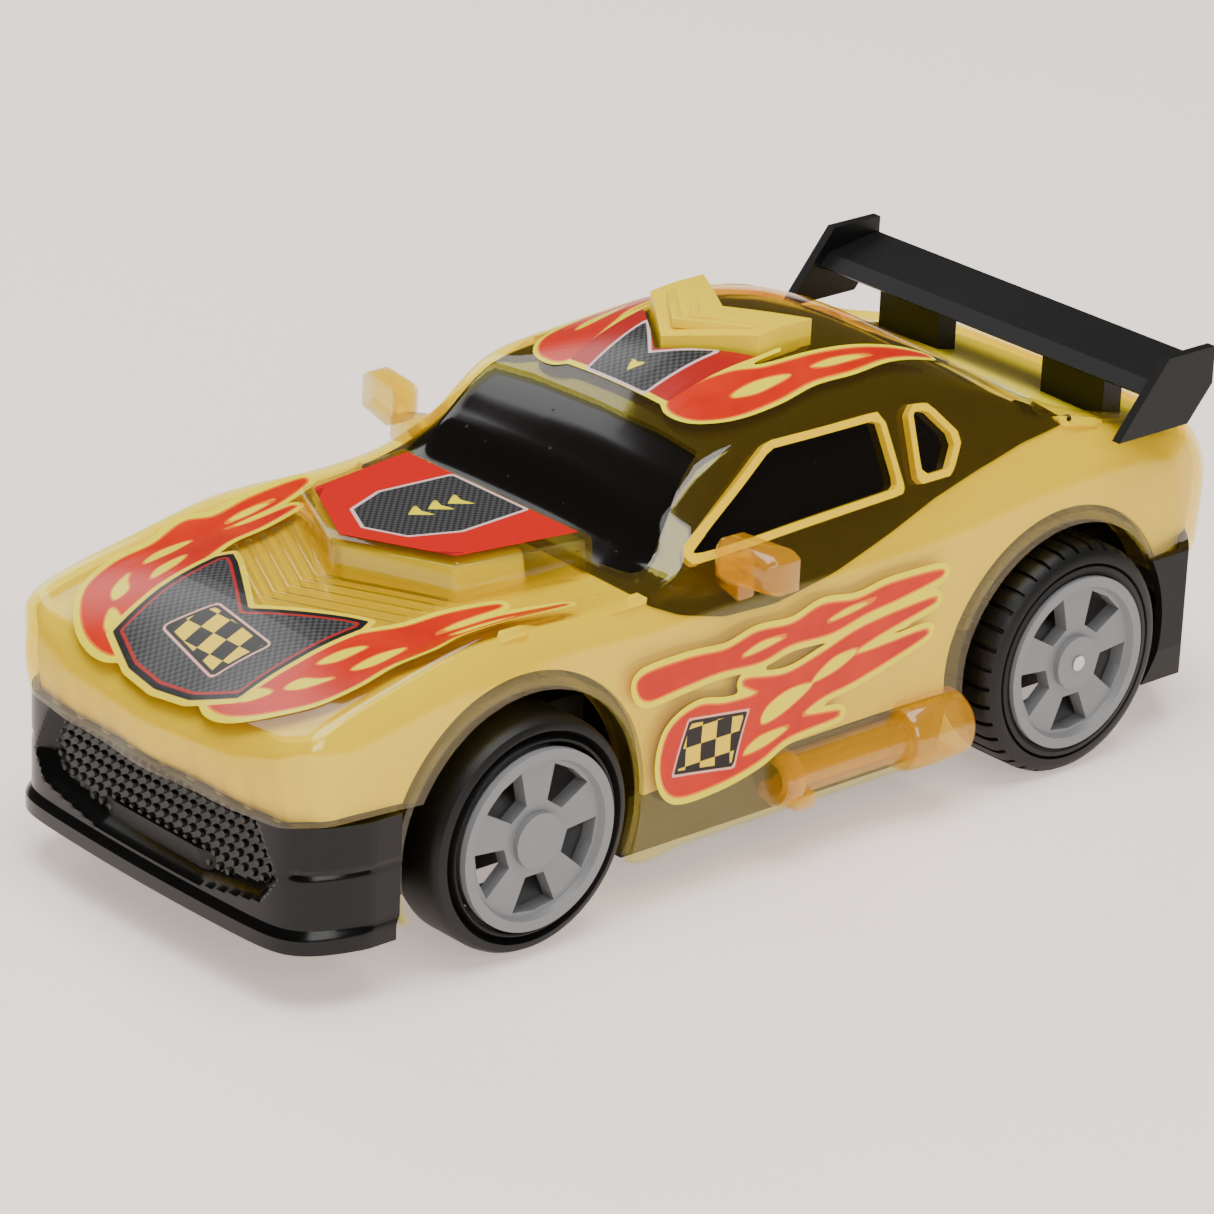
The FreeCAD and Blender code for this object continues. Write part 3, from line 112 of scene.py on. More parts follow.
bpy.ops.mesh.primitive_plane_add(size=6.0, location=(0, 0, 0))
paper_sweep = bpy.context.object
paper_sweep.name = "paper_sweep"
bpy.ops.object.transform_apply(location=True, rotation=True, scale=True)
dress(paper_sweep, paper)

for name, place, aim, size, power in (
    ("top_box", (0.15, -0.1, 1.3), (0, 0, 0.03), 1.0, 20.0),
    ("left_box", (-1.2, 0.1, 0.9), (0, 0, 0.03), 0.7, 6.0),
    ("front_box", (1.3, -0.5, 0.75), (0, 0, 0.03), 0.8, 10.0),
):
    bpy.ops.object.light_add(type="AREA", location=place)
    lamp = bpy.context.object
    lamp.name = name
    lamp.data.size = size
    lamp.data.energy = power
    lamp.rotation_euler = (Vector(aim) - Vector(place)).to_track_quat("-Z", "Y").to_euler()

world = bpy.data.worlds.new("studio_air")
bpy.context.scene.world = world
world.use_nodes = True
world.node_tree.nodes["Background"].inputs["Color"].default_value = linear("#F4F0EC")
world.node_tree.nodes["Background"].inputs["Strength"].default_value = 0.15

CAMERA_PLACE = Vector((0.5966, -0.5478, 0.3656))
CAMERA_AIM = Vector((-0.0112, 0.0022, 0.0234))
CAMERA_ROLL = math.radians(2.44)
bpy.ops.object.camera_add(location=CAMERA_PLACE)
camera = bpy.context.object
facing = (CAMERA_AIM - CAMERA_PLACE).to_track_quat("-Z", "Y")
camera.rotation_euler = (facing @ Quaternion((0, 0, 1), CAMERA_ROLL)).to_euler()
camera.data.sensor_width = 36.0
camera.data.lens = 172.6
bpy.context.scene.camera = camera


# ---- Body form ----------------------------------------------------------------------
# One smooth skin that the clear shell, the cream liner and the black cabin all follow.
# It runs between rails: lines along the car, each a few points from nose to tail. The
# stations are the nose lip and its top, hood, arches, screen, roof, deck and tail.

RAILS = {  # (x, y, z) in millimetres, left side, from the lower edge to the middle
    "edge": [
        (36.0, -66, 26), (36.0, -64, 27), (36.0, -60, 27), (36.0, -56, 26), (36.0, -48, 24),
        (36.6, -35, 9), (36.8, -23, 8.8), (36.8, -11, 8.8), (36.8, 2, 8.8), (36.8, 18, 8.8),
        (36.6, 34, 9), (36.0, 48, 24), (36.0, 56, 26), (36.0, 60, 27), (35.8, 63, 27),
        (35.7, 65, 27), (35.6, 67, 27), (35.6, 68, 26.8),
    ],
    "skirt": [
        (36.1, -70, 27.5), (36.1, -69, 29), (36.1, -67, 32), (36.1, -61, 33), (36.1, -53, 33),
        (35.8, -34, 24), (35.2, -23, 20), (35.1, -11, 20), (35.1, 2, 20), (35.1, 18, 20),
        (35.5, 33, 24), (36.0, 46, 32), (36.0, 55, 33), (35.9, 62, 32), (35.8, 67, 30),
        (35.7, 69, 29), (35.6, 71, 28), (35.5, 73, 27),
    ],
    "flank": [
        (36.0, -73.5, 28.4), (36.0, -74.2, 32), (36.0, -72.5, 36), (36.0, -64, 39.5),
        (36.0, -54, 41), (36.0, -38, 37), (36.1, -24, 36), (36.1, -11, 35.5),
        (36.0, 2, 35.5), (36.0, 18, 36), (36.0, 32, 38), (36.0, 44, 41), (36.0, 55, 41.5),
        (35.9, 66, 40), (35.5, 73, 37), (35.3, 76, 33.5), (35.2, 77.5, 30), (35.1, 78, 27),
    ],
    "shoulder": [
        (35.7, -83.0, 28.8), (35.7, -84.0, 34), (35.3, -82.4, 40), (34.6, -69, 44.6),
        (34.5, -55, 46.4), (35.0, -36, 44.2), (35.4, -23, 43.0), (35.6, -11, 42.6),
        (35.5, 2, 42.8), (35.3, 18, 43.4), (35.1, 31, 44.8), (35.0, 44, 47.0),
        (34.8, 58, 48.0), (34.6, 69, 47.2), (34.1, 77, 44), (33.8, 80, 40.5),
        (33.6, 81.8, 35.5), (33.5, 82.5, 27),
    ],
    "ridge": [
        (34.4, -89.0, 28.4), (34.0, -90.4, 35.4), (32.8, -89.6, 42.0), (31.4, -71, 47.2),
        (31.6, -56, 49.6), (32.6, -38, 48.6), (33.6, -24, 48.2), (33.9, -11, 48.2),
        (33.6, 2, 48.2), (33.4, 18, 48.4), (33.0, 31, 49.2), (32.6, 44, 51.0),
        (32.2, 58, 52.0), (32.0, 70, 51.4), (30.8, 80.5, 48.2), (30.3, 85.8, 44.5),
        (30.1, 88.8, 38), (30.0, 88.3, 26.8),
    ],
    "belt": [
        (29.0, -93.2, 27.5), (28.4, -94.4, 35.4), (28.0, -91.0, 41.0), (26.0, -75, 45.3),
        (26.2, -56, 47.2), (30.0, -31, 49.0), (32.4, -22, 50.4), (32.3, -11, 51.4),
        (32.0, 2, 51.7), (31.9, 18, 51.8), (31.7, 31, 52.2), (31.0, 44, 53.8),
        (29.8, 57.5, 55.3), (28.6, 70, 52.3), (27.0, 81, 49.7), (26.0, 88.8, 46.2),
        (25.6, 94.0, 38), (25.5, 93.5, 26.5),
    ],
    "brow": [
        (19.0, -94.3, 27.1), (18.6, -95.3, 35.0), (18.6, -90.8, 40.4), (18.0, -76, 45.8),
        (18.0, -56, 48.0), (22.0, -30.4, 49.8), (24.6, -21, 56.8), (25.8, -11.3, 63.2),
        (26.2, 2, 64.6), (26.2, 18, 65.4), (26.4, 31, 64.9), (26.8, 44, 61.8),
        (27.8, 56.5, 56.2), (25.5, 70, 52.2), (23.0, 82, 49.9), (21.5, 90.2, 46.4),
        (21.0, 95.6, 38), (21.0, 95.0, 26.5),
    ],
    "crown": [
        (9.0, -94.2, 26.8), (9.0, -95.2, 34.7), (9.0, -89.8, 39.9), (9.0, -76, 46.2),
        (9.0, -56, 48.4), (11.0, -30.3, 50.2), (12.5, -20.8, 57.4), (13.2, -11.3, 64.0),
        (13.6, 2, 69.0), (13.8, 18, 70.9), (14.0, 32, 68.9), (14.0, 45, 63.4),
        (14.0, 58, 56.8), (13.0, 71, 52.4), (12.0, 82, 50.0), (11.0, 90.6, 46.6),
        (10.5, 96.1, 38), (10.5, 95.6, 26.5),
    ],
    "middle": [
        (0, -95.0, 26.5), (0, -96.0, 34.5), (0, -90.2, 39.6), (0, -76, 46.3),
        (0, -56, 48.5), (0, -30.2, 50.3), (0, -20.7, 57.6), (0, -11.4, 64.3),
        (0, 2, 70.4), (0, 18, 72.3), (0, 32, 70.2), (0, 45, 63.9),
        (0, 58, 57.0), (0, 71, 52.5), (0, 82, 50.1), (0, 90.8, 46.6),
        (0, 96.3, 38), (0, 95.8, 26.5),
    ],
}
STEPS = 9  # columns between two stations
# how far from each rail its rounding starts, as a share of the way to the next rail
SOFTNESS = (0.1, 0.3, 0.42, 0.35, 0.3, 0.16, 0.14, 0.45, 0.5)


NOSE_HALF = 36.0
NOSE_TIP = -95.0
NOSE_BOW = 1.5
NOSE_CORNER = 11.0


def nose_front(x):
    """How far forward the nose reaches at x: nearly straight, then round its corners."""
    share = abs(x) / NOSE_HALF
    return NOSE_TIP + NOSE_BOW * share**2 + NOSE_CORNER * share**14


def along(rail, place):
    """The point of a rail at place, counted in stations."""
    i = min(int(place), len(rail) - 2)
    before, start = Vector(rail[max(i - 1, 0)]), Vector(rail[i])
    end, after = Vector(rail[i + 1]), Vector(rail[min(i + 2, len(rail) - 1)])
    f = place - i
    bend = 2 * before - 5 * start + 4 * end - after
    twist = 3 * start - before - 3 * end + after
    return 0.5 * (2 * start + (end - before) * f + bend * f**2 + twist * f**3)


def section(corners):
    """One rib of the body: flat between its corners and rounded over them."""
    softness = SOFTNESS + SOFTNESS[-2::-1]
    ribs = [corners[0]]
    for i in range(len(corners) - 1):
        start, end = corners[i], corners[i + 1]
        low, high = softness[i], 1 - softness[i + 1]
        for share in (0.0, 0.2, 0.4, 0.6, 0.8, 1.0):
            ribs.append(start.lerp(end, low + (high - low) * share))
        if i < len(corners) - 2:
            leave = ribs[-1]
            arrive = end.lerp(corners[i + 2], softness[i + 1])
            for t in (0.25, 0.5, 0.75):
                ribs.append(leave.lerp(end, t).lerp(end.lerp(arrive, t), t))
    return ribs + [corners[-1]]


def body_columns():
    """The skin's points in metres, column by column from nose to tail."""
    count = (len(RAILS["edge"]) - 1) * STEPS + 1
    columns = []
    for column in range(count):
        left = [along(rail, column / STEPS) for rail in RAILS.values()]
        right = [Vector((-p.x, p.y, p.z)) for p in left[-2::-1]]
        columns.append([p * MM for p in section(left + right)])
    return columns


def body_skin(name):
    """A grid bent to the body's form, with its faces outwards."""
    columns = body_columns()
    rows = len(columns[0])
    bpy.ops.mesh.primitive_grid_add(
        x_subdivisions=rows - 1, y_subdivisions=len(columns) - 1, size=1.0
    )
    skin = bpy.context.object
    skin.name = name
    for i, vertex in enumerate(skin.data.vertices):
        vertex.co = columns[i // rows][i % rows]
    skin.data.update()
    top = max(skin.data.polygons, key=lambda face: face.center.z)
    if top.normal.z < 0:
        skin.data.flip_normals()
    return skin


def apply(piece, kind, **settings):
    """Adds a modifier with its settings and applies it."""
    bpy.context.view_layer.objects.active = piece
    modifier = piece.modifiers.new(kind.lower(), kind)
    for key, value in settings.items():
        setattr(modifier, key, value)
    bpy.ops.object.modifier_apply(modifier=modifier.name)


def remove(piece):
    bpy.data.objects.remove(piece)


def outside(polygon, a, b):
    """How far points (a, b) lie outside a closed outline, with minus for inside."""
    nearest = np.full(a.shape, 1e9)
    crossings = np.zeros(a.shape, int)
    for (ax, ay), (bx, by) in zip(polygon, polygon[1:] + polygon[:1]):
        dx, dy = bx - ax, by - ay
        t = np.clip(((a - ax) * dx + (b - ay) * dy) / (dx * dx + dy * dy), 0, 1)
        nearest = np.minimum(nearest, np.hypot(a - ax - t * dx, b - ay - t * dy))
        if dy:
            spans = (ay > b) != (by > b)
            crossings += spans & (a < ax + (b - ay) * dx / dy)
    return np.where(crossings % 2 == 1, -nearest, nearest)


def trim(piece, field):
    """Cuts an open skin along field = 0 and keeps the side where field is above zero."""
    mesh = bmesh.new()
    mesh.from_mesh(piece.data)
    mesh.verts.ensure_lookup_table()
    places = np.array([vertex.co for vertex in mesh.verts]) / MM
    values = field(*places.T)
    level = {vertex: value for vertex, value in zip(mesh.verts, values)}
    for edge in list(mesh.edges):
        start, end = edge.verts
        if level[start] * level[end] < 0:
            share = level[start] / (level[start] - level[end])
            _, cut = bmesh.utils.edge_split(edge, start, share)
            level[cut] = 0.0
    for face in list(mesh.faces):
        cuts = [vertex for vertex in face.verts if level[vertex] == 0.0]
        if len(cuts) == 2 and not mesh.edges.get(cuts):
            bmesh.utils.face_split(face, *cuts)
    lost = [face for face in mesh.faces if min(level[vertex] for vertex in face.verts) < 0]
    bmesh.ops.delete(mesh, geom=lost, context="FACES")
    mesh.to_mesh(piece.data)
    mesh.free()


def move_along_normals(skin, distance):
    """Moves the skin inwards by distance, so that layers nest."""
    normals = [vertex.normal.copy() for vertex in skin.data.vertices]
    for vertex, normal in zip(skin.data.vertices, normals):
        vertex.co -= normal * distance
    skin.data.update()


def smooth(piece, degrees=35):
    """Soft shading over gentle bends and crisp shading over edges."""
    bpy.ops.object.select_all(action="DESELECT")
    piece.select_set(True)
    bpy.context.view_layer.objects.active = piece
    bpy.ops.object.shade_smooth_by_angle(angle=math.radians(degrees))
    piece.select_set(False)


def join(name, pieces):
    """Makes several meshes one piece."""
    bpy.ops.object.select_all(action="DESELECT")
    for piece in pieces:
        piece.select_set(True)
    bpy.context.view_layer.objects.active = pieces[0]
    bpy.ops.object.join()
    pieces[0].name = name
    pieces[0].select_set(False)
    return pieces[0]


WHEELS = {
    "front": sum(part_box("front_axle"), Vector()) / 2 / MM,
    "rear": sum(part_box("rear_axle"), Vector()) / 2 / MM,
}
ARCH_RADIUS = 21.6

# openings, seen from the front for the screen and from the side for the windows
HOOD_END = -30.4
SCREEN = [(-28.8, 49.6), (28.8, 49.6), (23.3, 62.9), (14, 63.6), (0, 63.9), (-14, 63.6), (-23.3, 62.9)]
DOOR_WINDOW = [(-20.5, 51.6), (20.6, 52.6), (19.6, 62.3), (-1.8, 62.3)]
BUTTON_SLOT = [(-12.4, 8.6), (0, -0.1), (12.4, 8.6), (12.4, 20.2), (0, 13.0), (-12.4, 20.2)]  # (x, y)
QUARTER_WINDOW = [(25.6, 53.2), (31.0, 53.2), (33.8, 56.8), (29.2, 61.7), (26.4, 62.0)]
ROOF_ONLY = 60  # the slot is cut above this height


def button_slot(x, y, z):
    """The field that cuts the roof open round the button."""
    return np.maximum(outside(BUTTON_SLOT, x, y), ROOF_ONLY - z)


# ---- Cream liner --------------------------------------------------------------------
# Moulded polypropylene just under the clear shell: it is what makes the car read yellow.
# It ends in a sweeping line under the windows and in a straight line above the sills.
# Its colour is set yellower than bare cream, because the thin tint above adds little.

LINER_DEPTH = 1.7
LINER_WALL = 1.0
LINER_SETBACK = 2.2
CABIN_LINE = [  # side view, (y, z)
    (-45, 90), (-39, 55.0), (-35.5, 52.6), (-32.0, 49.6), (-29.0, 46.5), (-24, 44.2),
    (-16, 42.2), (-6, 41.8), (6, 43.6), (18, 46.6), (28, 49.4), (38, 51.6), (48, 53.4),
    (58, 54.3), (64, 54.6), (72, 56), (84, 90),
]
SILL_LINE = [(-33.5, 17.4), (33, 18.0), (33, 0), (-33.5, 0)]

liner = body_skin("body_liner_form")
move_along_normals(liner, LINER_DEPTH * MM)
trim(liner, lambda x, y, z: outside(CABIN_LINE, y, z))
trim(liner, lambda x, y, z: outside(SILL_LINE, y, z))
for centre in WHEELS.values():
    reach = ARCH_RADIUS + LINER_SETBACK
    trim(liner, lambda x, y, z: np.hypot(y - centre.y, z - centre.z) - reach)
apply(liner, "SOLIDIFY", thickness=LINER_WALL * MM, offset=-1.0)
smooth(liner)

cream, tree = material("moulded_polypropylene_cream")
swirl = add(tree, "ShaderNodeTexCoord")
tone = add(
    tree, "ShaderNodeTexNoise", {"Vector": swirl.outputs["Object"], "Scale": 60.0, "Detail": 2.0}
)
blend = add(tree, "ShaderNodeMix", {"Factor": tone.outputs["Fac"]}, data_type="RGBA")
blend.inputs[6].default_value = linear("#FFE820")
blend.inputs[7].default_value = linear("#FFE018")
plastic = add(
    tree,
    "ShaderNodeBsdfPrincipled",
    {"Base Color": blend.outputs[2], "Roughness": 0.42, "IOR": 1.49},
)
show(tree, plastic.outputs["BSDF"])
dress(liner, cream)
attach(liner, "car_body")
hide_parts("body_liner")


# ---- Cabin insert -------------------------------------------------------------------
# One glossy black moulding that makes the windscreen, the side windows and, under the
# amber shell, the dark roof pillars. It clips in below the shell.

CABIN_DEPTH = 1.42
CABIN_WALL = 1.0
CABIN_FRONT = 40.0
CABIN_OVERLAP = 0.4

cabin = body_skin("window_insert_form")
move_along_normals(cabin, CABIN_DEPTH * MM)
trim(cabin, lambda x, y, z: CABIN_OVERLAP - outside(CABIN_LINE, y, z))
trim(cabin, lambda x, y, z: y + CABIN_FRONT)
trim(cabin, button_slot)
apply(cabin, "SOLIDIFY", thickness=CABIN_WALL * MM, offset=-1.0)
smooth(cabin)

black_gloss, tree = material("polished_acrylic_black")
dust = add(tree, "ShaderNodeTexCoord")
speck = add(
    tree,
    "ShaderNodeTexVoronoi",
    {"Vector": dust.outputs["Object"], "Scale": 240.0},
    feature="F1",
)
bare = add(
    tree,
    "ShaderNodeMapRange",
    {"Value": speck.outputs["Distance"], "From Min": 0.03, "From Max": 0.08, "To Min": 0.5, "To Max": 0.09},
)
plastic = add(
    tree,
    "ShaderNodeBsdfPrincipled",
    {
        "Base Color": linear("#0D0A08"),
        "Roughness": bare.outputs["Result"],
        "IOR": 1.49,
        "Specular IOR Level": 0.3,
    },
)
show(tree, plastic.outputs["BSDF"])
dress(cabin, black_gloss)
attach(cabin, "car_body")
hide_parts("window_insert")


# ---- Clear amber shell --------------------------------------------------------------
# Injection-moulded clear polystyrene, tinted amber all through. Thin walls read yellow
# over the liner and olive over black. The thick mirrors and pipes have a hazier mix.

SHELL_WALL = 1.3
FRAME_WIDTH = 1.1

shell = body_skin("body_shell_form")
for centre in WHEELS.values():
    trim(shell, lambda x, y, z: np.hypot(y - centre.y, z - centre.z) - ARCH_RADIUS)
trim(shell, lambda x, y, z: np.maximum(outside(SCREEN, x, z), HOOD_END - y))
trim(shell, lambda x, y, z: outside(DOOR_WINDOW, y, z) - FRAME_WIDTH)
trim(shell, lambda x, y, z: outside(QUARTER_WINDOW, y, z) - FRAME_WIDTH)
trim(shell, button_slot)
apply(shell, "SOLIDIFY", thickness=SHELL_WALL * MM, offset=-1.0)
smooth(shell)


def tinted_clear(name, haze_colour, haze_share):
    """Clear amber plastic: it absorbs blue in its depth, and a share of it scatters light."""
    made, tree = material(name)
    haze = add(
        tree,
        "ShaderNodeBsdfPrincipled",
        {"Base Color": linear(haze_colour), "Roughness": 0.3, "IOR": 1.59},
    )
    clear = add(tree, "ShaderNodeBsdfTransparent", {"Color": (1, 1, 1, 1)})
    body = add(
        tree, "ShaderNodeMixShader", {"Fac": haze_share, 1: clear.outputs[0], 2: haze.outputs[0]}
    )
    gloss = add(tree, "ShaderNodeBsdfGlossy", {"Color": (1, 1, 1, 1), "Roughness": 0.05})
    slant = add(tree, "ShaderNodeLayerWeight", {"Blend": 0.5})
    rise = add(tree, "ShaderNodeMath", {0: slant.outputs["Facing"], 1: 5.0}, operation="POWER")
    glint = add(
        tree, "ShaderNodeMath", {0: rise.outputs[0], 1: 0.55, 2: 0.045}, operation="MULTIPLY_ADD"
    )
    surface = add(
        tree,
        "ShaderNodeMixShader",
        {"Fac": glint.outputs[0], 1: body.outputs[0], 2: gloss.outputs[0]},
    )
    tint = add(
        tree, "ShaderNodeVolumeAbsorption", {"Color": (0.99, 0.93, 0.02, 1.0), "Density": 560.0}
    )
    show(tree, surface.outputs[0], tint.outputs[0])
    return made


amber = tinted_clear("clear_polystyrene_amber", "#E8BE00", 0.03)
deep_amber = tinted_clear("clear_polystyrene_deep_amber", "#FFB400", 0.28)
dress(shell, amber)
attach(shell, "car_body")
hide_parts("body_shell")

# Frames round the side windows: solid tinted plastic that gathers the light.
lit_edge, tree = material("solid_polystyrene_amber_edge")
glow = add(
    tree,
    "ShaderNodeBsdfPrincipled",
    {"Base Color": linear("#FFD400"), "Roughness": 0.12, "IOR": 1.59},
)
show(tree, glow.outputs["BSDF"])
frames = []
for number, window in enumerate((DOOR_WINDOW, QUARTER_WINDOW)):
    band = body_skin(f"window_frame_{number}")
    trim(band, lambda x, y, z: FRAME_WIDTH - outside(window, y, z))
    trim(band, lambda x, y, z: outside(window, y, z))
    apply(band, "SOLIDIFY", thickness=SHELL_WALL * MM, offset=-1.0)
    frames.append(band)
window_frames = join("window_frames", frames)
smooth(window_frames)
dress(window_frames, lit_edge)
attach(window_frames, "car_body")


# ---- Hood scoop and ribs ------------------------------------------------------------
# Part of the same clear moulding: a flat-topped scoop with upright walls, and five
# arrow-shaped ribs in front of it. A raised part of the cream liner stands below it.

SCOOP_TOP = 53.7
SCOOP_FOOT = 47.6
SCOOP = [(-21.4, -30.5), (-17.8, -53.0), (0, -62.0), (17.8, -53.0), (21.4, -30.5)]
RIB_PITCH = 2.5
RIB_WIDTH = 1.3
RIB_RISE = 1.1
RIB_COUNT = 5
RIB_REACH = 18.0
RIB_SLOPE = 9.0


def slab(name, points, low, high, flare=1.0):
    """A flat outline drawn out upwards. flare widens its foot."""
    bpy.ops.mesh.primitive_circle_add(vertices=len(points), fill_type="NGON")
    block = bpy.context.object
    block.name = name
    for vertex, (x, y) in zip(block.data.vertices, points):
        vertex.co = Vector((x, y, low)) * MM
    bpy.ops.object.mode_set(mode="EDIT")
    bpy.ops.mesh.select_all(action="SELECT")
    bpy.ops.mesh.extrude_region_move(TRANSFORM_OT_translate={"value": (0, 0, (high - low) * MM)})
    bpy.ops.mesh.select_all(action="SELECT")
    bpy.ops.mesh.normals_make_consistent(inside=False)
    bpy.ops.object.mode_set(mode="OBJECT")
    bpy.ops.object.select_all(action="DESELECT")
    for vertex in block.data.vertices:
        if vertex.co.z < (low + high) / 2 * MM:
            vertex.co.x *= flare
    return block


def open_foot(block):
    """Takes away the lowest face, so that a wall thickness makes a cap."""
    mesh = bmesh.new()
    mesh.from_mesh(block.data)
    lowest = min(mesh.faces, key=lambda face: face.calc_center_median().z)
    bmesh.ops.delete(mesh, geom=[lowest], context="FACES_ONLY")
    mesh.to_mesh(block.data)
    mesh.free()


scoop = slab("scoop_cap", SCOOP, SCOOP_FOOT, SCOOP_TOP, 1.04)
open_foot(scoop)
apply(scoop, "BEVEL", width=0.5 * MM, segments=2)
apply(scoop, "SOLIDIFY", thickness=1.2 * MM, offset=-1.0)
ribs = []
for i in range(RIB_COUNT):
    front = -62.0 - RIB_PITCH * (i + 1)
    rise = 48.5 + (front + 56) * 0.11
    path = [(-RIB_REACH, front + RIB_SLOPE), (0, front), (RIB_REACH, front + RIB_SLOPE)]
    back = [(x, y + RIB_WIDTH) for x, y in reversed(path)]
    rib = slab(f"rib_{i}", path + back, rise - 0.2, rise + RIB_RISE)
    apply(rib, "BEVEL", width=0.3 * MM, segments=2)
    ribs.append(rib)
scoop = join("scoop_and_ribs", [scoop, *ribs])
smooth(scoop)
dress(scoop, amber)
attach(scoop, "car_body")

scoop_liner = slab(
    "scoop_liner",
    [(-16.8, -39.5), (-15.9, -51.8), (0, -59.8), (15.9, -51.8), (16.8, -39.5), (9, -36.5), (-9, -36.5)],
    46.0,
    SCOOP_TOP - 1.5,
    1.08,
)
apply(scoop_liner, "BEVEL", width=1.2 * MM, segments=3)
smooth(scoop_liner)
dress(scoop_liner, cream)
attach(scoop_liner, "car_body")


# ---- Nose band ----------------------------------------------------------------------
# Behind the clear nose runs a ribbed strip, moulded with the shell, that catches light
# along the front edge like a row of lamps.

BAR_HALF = 0.8
BAR_DEPTH = 2
BAR_LOW, BAR_HIGH = 28, 34.5
BAR_PITCH = 6.2
bars = []
for i, place in enumerate((0.6, 1.6, 2.6, 3.6, 4.5)):
    for sign in (1, -1):
        x = sign * place * BAR_PITCH
        y = nose_front(x) + 0.8
        left, right, back = x - BAR_HALF, x + BAR_HALF, y + BAR_DEPTH
        outline = [(left, y), (right, y), (right, back), (left, back)]
        bar = slab(f"nose_bar_{i}_{sign}", outline, BAR_LOW, BAR_HIGH)
        apply(bar, "BEVEL", width=0.3 * MM, segments=2)
        bars.append(bar)
nose_bars = join("nose_bars", bars)
smooth(nose_bars)
dress(nose_bars, amber)
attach(nose_bars, "car_body")


# ---- Arch returns and side pipes ----------------------------------------------------
# The shell turns inwards at each wheel arch. Along each sill lies a mock exhaust: a
# small ring with a lug, a plain tube and a wide clear tip.


def lathe(name, profile, centre, axis, steps=96, sweep=360.0):
    """Turns a closed profile of (distance along the axis, radius) about an axis."""
    bpy.ops.mesh.primitive_circle_add(vertices=len(profile), fill_type="NOTHING")
    ring = bpy.context.object
    ring.name = name
    for vertex, (run, radius) in zip(ring.data.vertices, profile):
        place = {"x": (run, 0, radius), "y": (0, run, radius)}[axis]
        vertex.co = (Vector(place) + Vector(centre)) * MM
    bpy.ops.object.mode_set(mode="EDIT")
    bpy.ops.mesh.select_all(action="SELECT")
    bpy.ops.mesh.spin(
        steps=steps,
        angle=math.radians(sweep),
        center=Vector(centre) * MM,
        axis={"x": (1, 0, 0), "y": (0, 1, 0)}[axis],
    )
    bpy.ops.mesh.select_all(action="SELECT")
    bpy.ops.mesh.remove_doubles(threshold=1e-6)
    bpy.ops.mesh.normals_make_consistent(inside=False)
    bpy.ops.object.mode_set(mode="OBJECT")
    bpy.ops.object.select_all(action="DESELECT")
    return ring


def keep_above(piece, height):
    """Cuts a closed piece off at a height and closes the cut."""
    bpy.context.view_layer.objects.active = piece
    bpy.ops.object.mode_set(mode="EDIT")
    bpy.ops.mesh.select_all(action="SELECT")
    bpy.ops.mesh.bisect(
        plane_co=(0, 0, height * MM), plane_no=(0, 0, 1), use_fill=True, clear_inner=True
    )
    bpy.ops.object.mode_set(mode="OBJECT")
    bpy.ops.object.select_all(action="DESELECT")


returns = []
for end, centre in WHEELS.items():
    for side, sign in (("left", 1), ("right", -1)):
        inner, outer = sign * 30.0, sign * 34.6
        hoop = lathe(
            f"arch_return_{end}_{side}",
            [(inner, 21.7), (outer, 21.7), (outer, 22.9), (inner, 22.9)],
            (0, centre.y, centre.z),
            "x",
            128,
        )
        keep_above(hoop, 27.5 if end == "rear" else 9.2)
        returns.append(hoop)
arch_returns = join("arch_returns", returns)
smooth(arch_returns)
dress(arch_returns, amber)
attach(arch_returns, "car_body")

PIPE = (34.8, 0.0, 13.4)
pipes = []
for side, sign in (("left", 1), ("right", -1)):
    centre = (sign * PIPE[0], PIPE[1], PIPE[2])
    ring = [(-5.6, 2.6), (-5.6, 3.8), (-5.2, 4.2), (-2.4, 4.2), (-2.0, 3.8), (-2.0, 2.6)]
    small = lathe(f"pipe_ring_{side}", ring, centre, "y", 48)
    tube = lathe(f"pipe_tube_{side}", [(-3, 2.3), (-3, 3.4), (20, 3.4), (20, 2.3)], centre, "y", 48)
    tip = lathe(
        f"pipe_tip_{side}",
        [(19.6, 3.5), (19.9, 4.9), (20.8, 5.4), (31.2, 5.4), (31.9, 4.9), (31.4, 4.3), (21, 4.2),
            (20.6, 3.5)],
        centre,
        "y",
        64,
    )
    lug = slab(f"pipe_lug_{side}", [(sign * 35.2, -3.6), (sign * 38.6, -3.6), (sign * 38.6, 0.6),
        (sign * 35.2, 0.6)], 8.9, 11.2)
    apply(lug, "BEVEL", width=0.5 * MM, segments=2)
    pipes += [small, tube, tip, lug]
side_pipes = join("side_pipes", pipes)
smooth(side_pipes)
dress(side_pipes, deep_amber)
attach(side_pipes, "car_body")


# ---- Door mirrors -------------------------------------------------------------------
# Faceted blocks of amber plastic, glued to the doors. They are thick, so they use the
# hazier amber, which looks orange inside.

